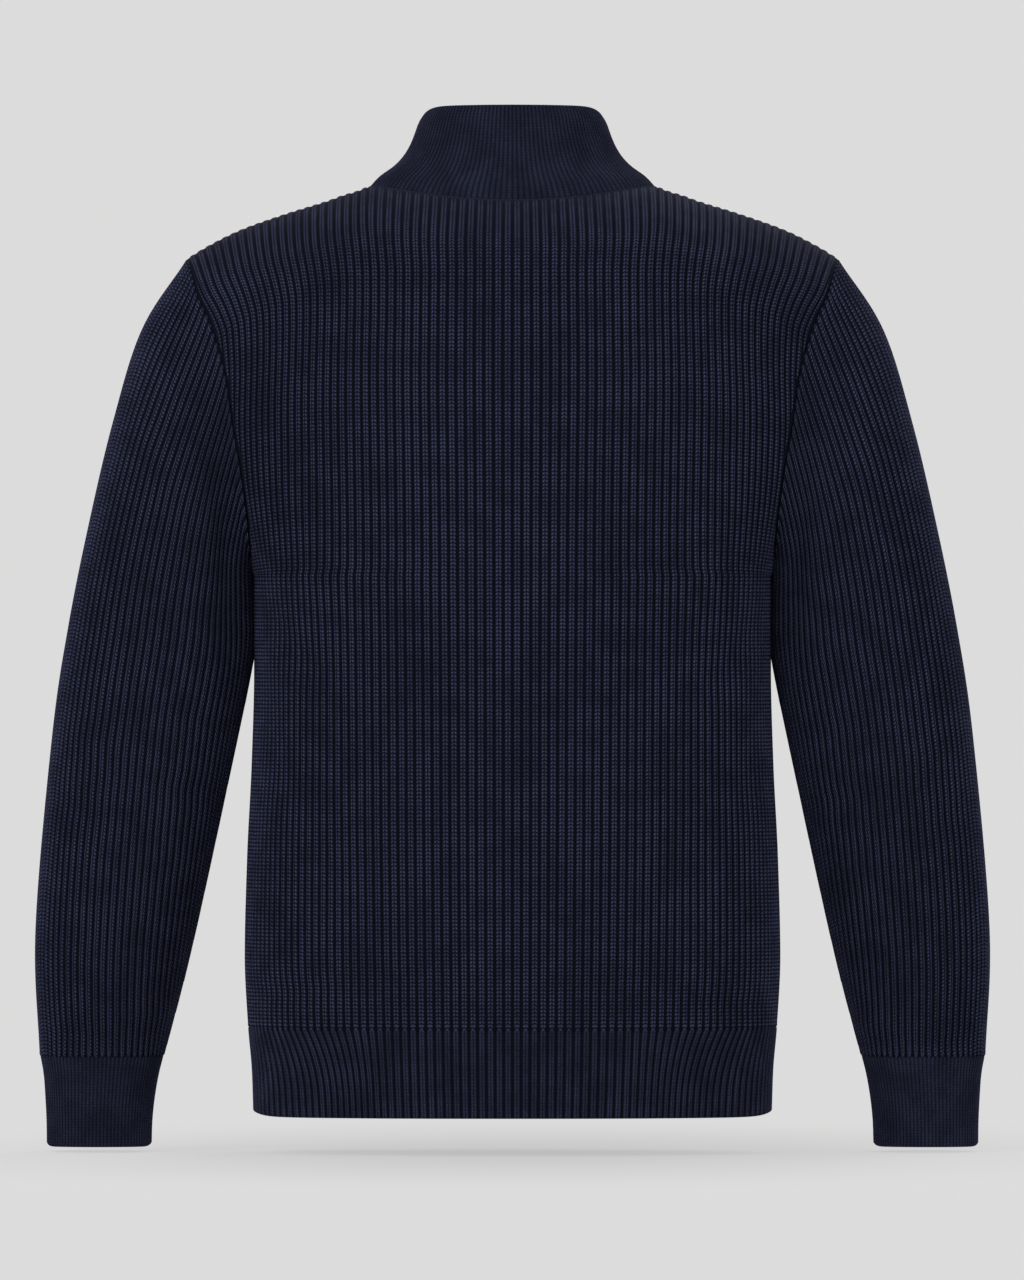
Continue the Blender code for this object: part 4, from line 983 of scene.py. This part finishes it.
def knit_look(name, course, wale, spread, line, dots, gain):
    """Colour from groove to stitch, where the dark groove, the dark line between the wales and the
    darker gaps between stitches are painted shade on the navy yarn.  A wale is a bell round its
    distance from the rib's middle, a stitch a bell in the length along the knit, which slants
    with that distance; both multiply, and fuzz and wash noise scale the result."""
    made, tree, shader = surface(name, 0.94)
    shader.inputs["Sheen Weight"].default_value = 0.04
    shader.inputs["Sheen Roughness"].default_value = 0.6
    shader.inputs["Sheen Tint"].default_value = (0.35, 0.38, 0.60, 1.0)
    shader.inputs["Specular IOR Level"].default_value = 0.03
    where = add(tree, "SeparateXYZ", add(tree, "UVMap", uv_map="knit").outputs[0]).outputs
    place = add(tree, "TexCoord").outputs["Object"]
    fuzz = noise(tree, place, 1100.0, 3.0)
    fleck = noise(tree, place, 330.0, 2.0)
    wash = noise(tree, place, 52.0, 3.0)
    fade = noise(tree, place, 9.0, 2.0)
    off = sums(tree, "ABSOLUTE", sums(tree, "SUBTRACT", where[0], wale))
    band = ramp(tree, off, spread * 0.25, spread, 1.0, 0.0)
    centre = ramp(tree, where[0], 0.0, wale * 0.8, line, 1.0)
    wobble = sums(tree, "MULTIPLY_ADD", fleck, 0.35, sums(tree, "MULTIPLY", where[0], 0.5))
    turn = sums(tree, "FRACT", sums(tree, "ADD", sums(tree, "DIVIDE", where[1], course), wobble))
    apart = sums(tree, "ABSOLUTE", sums(tree, "SUBTRACT", turn, 0.5))
    stitch = ramp(tree, apart, 0.12, 0.46, 1.0, 1.0 - dots)
    light = sums(tree, "MULTIPLY", sums(tree, "MULTIPLY", band, centre), stitch)
    shown = add(tree, "Attribute", attribute_name="pattern").outputs["Fac"]
    inside = sums(tree, "MULTIPLY", sums(tree, "SUBTRACT", 1.0, shown), INSIDE_LIGHT)
    light = sums(tree, "MULTIPLY_ADD", light, shown, inside)
    uneven = ramp(tree, fuzz, 0.28, 0.74, 0.62, 1.36)
    uneven = sums(tree, "MULTIPLY", uneven, ramp(tree, wash, 0.3, 0.72, 0.72, 1.3))
    uneven = sums(tree, "MULTIPLY", uneven, ramp(tree, fade, 0.3, 0.7, 0.86 * gain, 1.14 * gain))
    # painted shade: the groove, the line between the wales and the gaps between stitches get the
    # dark groove colour
    colour = blend(tree, sums(tree, "MULTIPLY", light, uneven), GROOVE_SHADE_NAVY, STITCH_NAVY)
    height = sums(tree, "MULTIPLY_ADD", fuzz, 0.35, light)
    finished(tree, shader, colour, height, 1.0, 0.0009)
    return made


wide_rib = knit_look("wide_rib_knit", 2.8, 0.34, 0.40, 0.30, 0.95, 0.90)
hem_rib = knit_look("hem_rib_knit", 2.5, 0.32, 0.46, 0.45, 0.35, 0.43)
fine_rib = knit_look("fine_rib_knit", 2.2, 0.0, 1.25, 1.0, 0.40, 0.32)

# %% [markdown]
# ## The knit pieces
#
# The back, the two fronts and the two sleeves are the wide rib.  Collar, hem and cuffs are
# knitted finer, which is how a rib garment keeps its shape at the edges.

# %% The body panels
BODY_WALL, HEM_WALL, FINE_WALL = 3.5, 3.1, 2.8
WIDE = (RIB_DEPTH, BODY_WALL, len(PHASES_8))      # one inner column to a rib
FINE = (FINE_DEPTH, FINE_WALL, len(PHASES_6))
SIDES = (("left", np.array), ("right", mirrored))
knits = {}
net, turn = creased(back_net, back_normals, BODY_CREASES), both_ways(back_turn[::-1])
knits["back"] = knit("back_knit", net, back_normals, turn, wide_rib, (LOOPED, TOP_SEAM), *WIDE)
for side, turned in SIDES:
    net = creased(front_half, front_normals, BODY_CREASES, side == "right")
    net, normals = turned(net), turned(front_normals)
    knits[f"front_{side}"] = knit(
        f"front_knit_{side}", net, normals, front_turn, wide_rib, (LOOPED, TOP_SEAM), *WIDE
    )

# %% The sleeves and the cuffs
for side, turned in SIDES:
    net = creased(sleeve_net, sleeve_normals, SLEEVE_CREASES, side == "right")
    net, normals = turned(net), turned(sleeve_normals)
    knits[f"sleeve_{side}"] = knit(
        f"sleeve_knit_{side}", net, normals, sleeve_turn, wide_rib, (HEADED, LOOPED), *WIDE, True
    )
    net, normals, ends = turned(cuff_net), turned(cuff_normals), (JOIN, edge(FINE_WALL))
    knits[f"cuff_{side}"] = knit(
        f"cuff_knit_{side}", net, normals, cuff_turn, fine_rib, ends, *FINE, True
    )

# %% The hem and the collar
turn, ends = np.concatenate([front_turn, FRONT_RIBS + back_turn[1:]]), (edge(HEM_WALL), JOIN)
knits["hem_band"] = knit(
    "hem_knit", hem_net, hem_normals, both_ways(turn), hem_rib, ends, HEM_DEPTH, HEM_WALL, WIDE[2]
)
turn, ends = both_ways(collar_turn), (SEAM, edge(FINE_WALL))
knits["collar"] = knit("collar_knit", collar_net, collar_normals, turn, fine_rib, ends, *FINE)

# %% [markdown]
# ## The zip
#
# The zip follows the front edges from the hem to the collar's top.  Its tape is a woven strip
# with a corded edge, its teeth are two rows that fit between each other, and the slider sits
# closed near the top, with a pull tab that hangs on a pin.


# %% The zip's line
def front_edge(level):
    """The front panel's edge at one level."""
    return torso(level, np.zeros(1), -1)[0]


bottom_level = (HEM_BOTTOM - HEM_JOIN) / (ARMPIT - HEM_JOIN)
zip_line = np.array(
    [front_edge(level) for level in np.linspace(bottom_level, 3, 160)]
    + [collar(np.zeros(1), rise)[0] for rise in (0.08, 0.16, 0.24, 0.32, 1.0)]
)
zip_line[:, 0] = 0.0
zip_run = run_length(zip_line)
ZIP_LENGTH = zip_run[-1]
X_WAY = np.array([[1.0, 0.0, 0.0]])
print("zip", round(ZIP_LENGTH), "mm")


def zip_places(distances):
    """Origin, x way, upward way and outward way at distances from the zip's lower end."""
    share = np.asarray(distances, float) / ZIP_LENGTH
    origin = along(zip_line, share)
    way = unit(along(zip_line, share + 1e-3) - along(zip_line, share - 1e-3))
    way[share > 0.985] = unit(zip_line[-1] - zip_line[-2])
    out = np.stack([0 * share, -way[:, 2], way[:, 1]], axis=1)
    return origin, np.repeat(X_WAY, len(origin), axis=0), way, out


# %% Small solids made of layers
def swept(rings, flip=False):
    """One solid through rings of points, with a face at each end."""
    rows, n = rings.shape[:2]
    c = np.arange(n)
    faces = ring_quads(rows, n).tolist() + [c[::-1].tolist(), (c + (rows - 1) * n).tolist()]
    return rings.reshape(-1, 3), [face[::-1] for face in faces] if flip else faces


def lofted(outline, layers, places):
    """Many copies of one solid: an outline in the first two ways, repeated in layers along the
    third.  A layer is its place on the third way, its scale about the outline's middle, and a
    shift along the second way."""
    outline, layers = np.array(outline, float), np.array(layers, float)
    origin, first, second, third = places
    middle = (outline.max(axis=0) + outline.min(axis=0)) / 2
    ring = middle + (outline - middle)[None] * layers[:, 1, None, None]
    ring[..., 1] += layers[:, 2, None]
    points = (
        origin[:, None, None]
        + ring[None, ..., :1] * first[:, None, None]
        + ring[None, ..., 1:] * second[:, None, None]
        + layers[None, :, :1, None] * third[:, None, None]
    )
    n, levels = len(outline), len(layers)
    quads = ring_quads(levels, n)
    caps = np.stack([np.arange(n)[::-1], np.arange(n) + (levels - 1) * n])
    hand = np.dot(np.cross(first[0], second[0]), third[0]) * turning(outline)
    if hand * (layers[-1, 0] - layers[0, 0]) < 0:
        quads, caps = quads[:, ::-1], caps[:, ::-1]
    start = np.arange(len(origin)) * n * levels
    quads = (quads[None] + start[:, None, None]).reshape(-1, 4)
    caps = (caps[None] + start[:, None, None]).reshape(-1, n)
    return points.reshape(-1, 3), quads.tolist() + caps.tolist()


def turning(outline):
    """Twice the signed area of an outline, above zero when it runs anticlockwise."""
    after = np.roll(outline, -1, axis=0)
    return float((outline[:, 0] * after[:, 1] - outline[:, 1] * after[:, 0]).sum())


def assembled(name, solids, look, node=None, body="garment", smoothed=False):
    """One object from several solids, with its body and the node it replaces."""
    points, faces, start = [], [], 0
    for some, of_them in solids:
        points.append(some)
        faces += [[k + start for k in face] for face in of_them]
        start += len(some)
    piece = linked(name, np.concatenate(points), faces, look, smoothed)
    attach(piece, body)
    if node:
        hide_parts(node)


def rounded_box(wide, high, cut):
    """An outline of eight points: a rectangle with its corners cut."""
    (x0, x1), (y0, y1) = wide, high
    return [
        (x0 + cut, y0), (x1 - cut, y0), (x1, y0 + cut), (x1, y1 - cut),
        (x1 - cut, y1), (x0 + cut, y1), (x0, y1 - cut), (x0, y0 + cut),
    ]


def circle(across, up, radius, sides):
    """A round outline."""
    turn = np.linspace(0, math.tau, sides, endpoint=False)
    return np.stack([across + radius * np.cos(turn), up + radius * np.sin(turn)], axis=1)


def bevelled(low, high, bevel, shrink):
    """Layers from low to high with both ends drawn in."""
    return [(low, shrink, 0), (low + bevel, 1, 0), (high - bevel, 1, 0), (high, shrink, 0)]


# %% Metal, tape and thread
def metal_look():
    """Dark polished metal: the roughness and a faint bump follow two noises."""
    made, tree, shader = surface("dark_zip_metal", 0.36, 1.0)
    place = add(tree, "TexCoord").outputs["Object"]
    worn = noise(tree, place, 420.0, 3.0)
    tree.links.new(ramp(tree, worn, 0.3, 0.7, 0.28, 0.46), shader.inputs["Roughness"])
    colour = blend(
        tree,
        ramp(tree, noise(tree, place, 90.0), 0.3, 0.7),
        (0.165, 0.168, 0.178, 1.0),
        (0.235, 0.238, 0.250, 1.0),
    )
    finished(tree, shader, colour, worn, 0.12, 0.0001)
    return made


def woven_look(name, across, up, dark, light):
    """Woven or twisted yarn: a product of two sine waves of the Object coordinates."""
    made, tree, shader = surface(name, 0.9)
    shader.inputs["Specular IOR Level"].default_value = 0.1
    place = add(tree, "TexCoord").outputs["Object"]
    where = add(tree, "SeparateXYZ", place).outputs
    rise = sums(tree, "MULTIPLY", where[2], math.tau / up)
    one, two = (
        sums(tree, "SINE", sums(tree, "MULTIPLY_ADD", where[0], sign * math.tau / across, rise))
        for sign in (1, -1)
    )
    weave = ramp(tree, sums(tree, "MULTIPLY", one, two), -0.9, 0.9)
    fuzz = ramp(tree, noise(tree, place, 900.0, 3.0), 0.3, 0.7, 0.7, 1.2)
    colour = blend(tree, sums(tree, "MULTIPLY", weave, fuzz), (*dark, 1), (*light, 1))
    finished(tree, shader, colour, weave, 0.6, 0.0002)
    return made


metal = metal_look()
tape_cloth, thread, linking_yarn = (
    woven_look(*values)
    for values in (
        ("tape_weave", 0.0011, 0.0009, (0.006, 0.0065, 0.012), (0.026, 0.029, 0.052)),
        ("sewing_thread", 0.0009, 0.0012, (0.008, 0.009, 0.018), (0.040, 0.045, 0.085)),
        ("linking_yarn", 0.0012, 0.0016, (0.004, 0.0045, 0.009), (0.019, 0.022, 0.044)),
    )
)

# %% The tape
TAPE_REAR, TAPE_OUTER = -3.1, 10.2
TAPE_PROFILE = np.array((
    # x, depth: a cord at the teeth, then flat cloth that thins under the knit edge
    (3.3, -2.5), (3.4, -2.05), (3.8, -1.72), (4.3, -1.70), (4.75, -1.95), (5.2, -2.10),
    (7.4, -2.05), (9.4, -2.10), (TAPE_OUTER, -2.30), (TAPE_OUTER, TAPE_REAR), (3.4, TAPE_REAR),
))
origin, first, way, out = zip_places(np.linspace(1.0, ZIP_LENGTH - 1.0, 262))
across, deep = TAPE_PROFILE[:, :1], TAPE_PROFILE[:, 1:]
for side, sign in (("left", 1), ("right", -1)):
    tape = swept(origin[:, None] + across * first[:, None] * sign + deep * out[:, None], sign < 0)
    node = f"zip_tape_{side}"
    assembled(f"tape_{side}", [tape], tape_cloth, node, smoothed=True)

# %% The teeth
TOOTH_PITCH, SLIDER_TOP, PIN_DOWN, PIN_OUT = 2.9, 7.0, 11.0, 3.4
FIRST_TOOTH, LAST_TOOTH = 9.8, 3.6        # from the zip's lower end, and below the slider's top
TOOTH = [
    (4.3, -0.62), (4.3, 0.62), (1.5, 0.55), (0.4, 0.68), (-0.7, 0.60),
    (-1.05, 0.0), (-0.7, -0.60), (0.4, -0.68), (1.5, -0.55),
]
TOOTH_LAYERS = [(-3.5, 0.9, 0), (-3.2, 1, 0), (-1.25, 1, 0), (-0.9, 0.84, 0)]
count = int((ZIP_LENGTH - SLIDER_TOP - LAST_TOOTH - FIRST_TOOTH) / TOOTH_PITCH)
solids = []
for sign, start in ((1, FIRST_TOOTH), (-1, FIRST_TOOTH + TOOTH_PITCH / 2)):
    origin, first, way, out = zip_places(start + TOOTH_PITCH * np.arange(count))
    solids.append(lofted(TOOTH, TOOTH_LAYERS, (origin, first * sign, way, out)))
assembled("zip_teeth", solids, metal, "zip_chain")
print("teeth", 2 * count)

# %% The slider
origin, first, way, out = zip_places([ZIP_LENGTH - SLIDER_TOP])
plate_place = (origin, first, way, out)
side_place = (origin, out, way, first)
SHIELD = [
    (-3.2, -12.0), (3.2, -12.0), (3.9, -11.4), (4.1, -8.0), (4.6, -4.5), (4.6, -1.8),
    (3.9, -0.5), (2.2, 0.0), (-2.2, 0.0), (-3.9, -0.5), (-4.6, -1.8), (-4.6, -4.5),
    (-4.1, -8.0), (-3.9, -11.4),
]
PIN_UP = SLIDER_TOP - PIN_DOWN
EAR = [(1.0, -1.9), (3.4, -1.6), (4.15, -1.1), (4.45, 0.0), (4.15, 1.1), (3.4, 1.6), (1.0, 1.9)]
ear = [(across, up + PIN_UP) for across, up in EAR]
solids = [
    lofted(SHIELD, [(-0.6, 1, 0), (0.85, 1, 0), (1.2, 0.95, 0), (1.4, 0.86, 0)], plate_place),
    lofted(SHIELD, bevelled(-5.2, -3.8, 0.35, 0.93), plate_place),
    lofted(rounded_box((-2.4, 2.4), (-2.4, -0.2), 0.4), [(-4.0, 1, 0), (-0.4, 1, 0)], plate_place),
    lofted(ear, bevelled(1.75, 2.75, 0.25, 0.9), side_place),
    lofted(ear, bevelled(-2.75, -1.75, 0.25, 0.9), side_place),
    lofted(circle(PIN_OUT, PIN_UP, 0.5, 12), bevelled(-2.95, 2.95, 0.2, 0.7), side_place),
]
for sign in (1, -1):
    flange = rounded_box(sorted((3.55 * sign, 4.05 * sign)), (-11.0, -5.2), 0.12)
    solids.append(lofted(flange, [(-1.55, 0.98, 0), (-0.5, 1, 0)], plate_place))
assembled("slider", solids, metal, "zip_slider")

# %% The pull tab
origin, first, way, out = zip_places([ZIP_LENGTH - PIN_DOWN])
tab_place = (origin, first, way, out)
TAB_NEAR, TAB_THICK, TAB_SHRINK = PIN_OUT - 1.48, 1.5, 0.72
TAB_MIDDLE = -14.6
tab_front = TAB_NEAR + TAB_THICK
TAB = [
    (-1.6, -3.6), (-1.6, -4.6), (-3.0, -6.4), (-3.0, -21.9), (-2.6, -23.2), (-1.6, -24.0),
    (1.6, -24.0), (2.6, -23.2), (3.0, -21.9), (3.0, -6.4), (1.6, -4.6), (1.6, -3.6),
]
EYE_HALF, EYE_SIDES = 1.45, 20
end = EYE_HALF - 0.2
EYE = (
    # radius, x
    (1.5, -end), (1.3, -EYE_HALF), (0.9, -EYE_HALF), (0.8, -end),
    (0.8, end), (0.9, EYE_HALF), (1.3, EYE_HALF), (1.5, end),
)
turn = np.linspace(0, math.tau, EYE_SIDES, endpoint=False)
eye_points = np.concatenate([
    origin
    + out * (PIN_OUT + radius * np.cos(turn))[:, None]
    + way * (radius * np.sin(turn))[:, None]
    + first * x
    for radius, x in EYE
])
eye_quads = ring_quads(len(EYE) + 1, EYE_SIDES) % len(eye_points)
if signed_volume(eye_points, eye_quads) < 0:
    eye_quads = eye_quads[:, ::-1]
neck_bar = rounded_box((0.1 - EYE_HALF, EYE_HALF - 0.1), (-4.6, -0.98), 0.2)
ridge = [(x * 0.55, TAB_MIDDLE + (up - TAB_MIDDLE) * TAB_SHRINK) for x, up in TAB]
solids = [
    (eye_points, eye_quads.tolist()),
    lofted(neck_bar, bevelled(TAB_NEAR, tab_front, 0.2, 0.94), tab_place),
    lofted(TAB, bevelled(TAB_NEAR, tab_front, 0.3, 0.93), tab_place),
    lofted(ridge, [(tab_front - 0.2, 1, 0), (tab_front + 0.22, 0.94, 0)], tab_place),
]
assembled("pull_tab", solids, metal, "zip_pull", "pull")

# %% The stops, the box and the stitches
places = zip_places([ZIP_LENGTH - SLIDER_TOP + 0.8])
for side, x in (("left", 4.6), ("right", -4.6)):
    shape = rounded_box((x - 1.0, x + 1.0), (0.0, 3.6), 0.35)
    stop = lofted(shape, bevelled(-1.6, 0.4, 0.3, 0.82), places)
    assembled(f"stop_{side}", [stop], metal, f"zip_stop_{side}")
box = rounded_box((-2.9, 2.9), (1.0, 8.7), 0.5)
box = lofted(box, bevelled(-3.7, -0.6, 0.35, 0.9), zip_places([0.0]))
assembled("pin_box", [box], metal, "zip_box")

STITCH_PITCH, STITCH_X = 4.0, 3.6         # the stitches' x is counted from the knit's edge
STITCH_LAYERS = [
    (-1.5, 0.3, -0.35), (-1.1, 0.85, 0), (0, 1, 0.12), (1.1, 0.85, 0), (1.5, 0.3, -0.35),
]
solids = []
to_stitch = np.abs(collar_half[len(collar_half) // 2, :20, 0] - FRONT_EDGE_X - STITCH_X)
for net, normals, column in (
    (hem_half, hem_normals, 4),
    (front_half, front_normals, 4),
    (collar_half, collar_normals, int(np.argmin(to_stitch))),
):
    line, line_out = net[:, column], normals[:, column]
    run = run_length(line)
    at = np.arange(3.0, run[-1] - 2.5, STITCH_PITCH) / run[-1]
    origin, out = along(line, at), unit(along(line, at, line_out))
    way = unit(along(line, at + 0.002) - along(line, at - 0.002))
    first = unit(np.cross(way, out))
    for sign in (1, -1):
        flip = np.array([sign, 1.0, 1.0])
        places = (origin * flip, first * flip, out * flip, way * flip)
        solids.append(lofted(circle(0, 0.1, 0.36, 6), STITCH_LAYERS, places))
assembled("zip_stitches", solids, thread, smoothed=True)

# %% [markdown]
# ## The linking at the neck
#
# The collar is linked to the body loop by loop, which leaves a thin rolled cord of chain
# stitches along the seam.  It is a tube carried along the neckline, thicker at every stitch.

# %% The linking
LINK_PITCH, LINK_RADIUS, LINK_SIDES = 3.1, 1.25, 8
path = collar_net[0] - collar_normals[0] * 0.55
total = run_length(path)[-1]
steps = np.linspace(0, 1, int(total / (LINK_PITCH / 6)))
path = along(path, steps)
radius = LINK_RADIUS * (0.68 + 0.32 * np.abs(np.sin(math.pi * steps * total / LINK_PITCH)))
way = unit(np.gradient(path, axis=0))
first = unit(np.cross(way, (0.0, 0.0, 1.0)))
second = np.cross(first, way)
turn = np.linspace(0, math.tau, LINK_SIDES, endpoint=False)[None, :, None]
ring = first[:, None] * np.cos(turn) + second[:, None] * np.sin(turn)
tube = swept(path[:, None] + ring * radius[:, None, None], True)
assembled("neck_linking", [tube], linking_yarn, smoothed=True)
print("neckline", round(total), "mm")

# %% What each knit piece stands for
for node, flat in (
    ("back", (0.53, 0.63)),
    ("front_left", (0.26, 0.63)),
    ("front_right", (0.26, 0.63)),
    ("sleeve_left", (0.38, 0.60)),
    ("sleeve_right", (0.38, 0.60)),
    ("hem_band", (1.03, 0.066)),
    ("collar", (0.52, 0.075)),
    ("cuff_left", (0.25, 0.068)),
    ("cuff_right", (0.25, 0.068)),
):
    piece = knits[node]
    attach(piece, "garment")
    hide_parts(node)

# %% [markdown]
# ## Floor, light and camera
#
# The sweater hangs a little above a pale floor in even studio light.  The floor fades into the
# background, so that only the soft shadow under the hem and the cuffs is seen; part of that
# shadow is painted, a wide darker oval in the floor's glow.

# %% Floor
FLOOR_Z, FLOOR_RADIUS = -722.0, 1300.0
BACKGROUND = (0.723, 0.716, 0.716, 1.0)


def floor_look():
    """Part lit and part glowing, which keeps the shadow soft, with a painted shadow: the glow is a
    little darker in a wide oval under the sweater; it fades away towards its edge."""
    made = bpy.data.materials.new("pale_floor")
    made.use_nodes = True
    tree = made.node_tree
    tree.nodes.clear()
    place = add(tree, "TexCoord").outputs["Object"]
    flat = add(tree, "VectorMath", place, (1.0, 1.0, 0.0), operation="MULTIPLY").outputs[0]
    far = add(tree, "VectorMath", flat, operation="LENGTH").outputs["Value"]
    grain = noise(tree, place, 40.0)
    tint = blend(tree, grain, (0.62, 0.613, 0.613, 1.0), (0.63, 0.623, 0.623, 1.0))
    lit = add(tree, "BsdfDiffuse", tint).outputs[0]
    # painted shadow: a wide oval under the sweater in which the floor's glow is dimmed
    oval = add(tree, "VectorMath", place, (2.1, 0.85, 0.0), operation="MULTIPLY").outputs[0]
    oval = add(tree, "VectorMath", oval, operation="LENGTH").outputs["Value"]
    painted_floor_shadow = ramp(tree, oval, 0.0, 1.05, 0.86, 1.0)
    glow = add(tree, "Emission", BACKGROUND, painted_floor_shadow).outputs[0]
    mixed = add(tree, "MixShader", 0.82, lit, glow).outputs[0]
    clear = add(tree, "BsdfTransparent").outputs[0]
    shown = add(tree, "MixShader", ramp(tree, far, 0.55, 1.28), mixed, clear).outputs[0]
    tree.links.new(shown, add(tree, "OutputMaterial").inputs[0])
    return made


disc = np.column_stack([circle(0, 0, FLOOR_RADIUS, 96), np.full(96, FLOOR_Z)])
floor = linked("floor", disc, [list(range(96))], floor_look())

# %% Light
world = bpy.data.worlds.new("studio")
world.use_nodes = True
world.node_tree.nodes["Background"].inputs[0].default_value = BACKGROUND
bpy.context.scene.world = world

MIDDLE = (0.0, 0.0, -0.33)
for name, place, power, size in (
    ("key", (1.9, 2.6, 1.5), 75.0, 2.6),
    ("fill", (-2.4, 2.4, 0.2), 22.0, 2.0),
    ("front_key", (-1.9, -2.6, 1.5), 60.0, 2.6),
    ("front_fill", (2.4, -2.4, 0.2), 20.0, 2.0),
):
    data = bpy.data.lights.new(name, "AREA")
    data.energy, data.size = power, size
    light = bpy.data.objects.new(name, data)
    way = np.array(MIDDLE) - np.array(place)
    light.location = place
    light.rotation_euler = (
        math.atan2(math.hypot(way[0], way[1]), -way[2]),
        0.0,
        math.atan2(way[0], -way[1]) + math.pi,
    )
    bpy.context.scene.collection.objects.link(light)

# %% Camera
MM_PER_PIXEL, PICTURE_HEIGHT = 0.75, 1280
CAMERA_FAR, SENSOR = 14.0, 36.0
camera_data = bpy.data.cameras.new("camera")
camera_data.sensor_width = SENSOR
camera_data.lens = SENSOR * CAMERA_FAR / (MM_PER_PIXEL * PICTURE_HEIGHT * MM)
camera = bpy.data.objects.new("camera", camera_data)
camera.location = (0.0004, CAMERA_FAR, -0.3375)
camera.rotation_euler = (math.pi / 2, 0.0, math.pi)
bpy.context.scene.collection.objects.link(camera)
bpy.context.scene.camera = camera
bpy.context.scene.view_settings.view_transform = "Standard"
print("lens", round(camera_data.lens, 1))
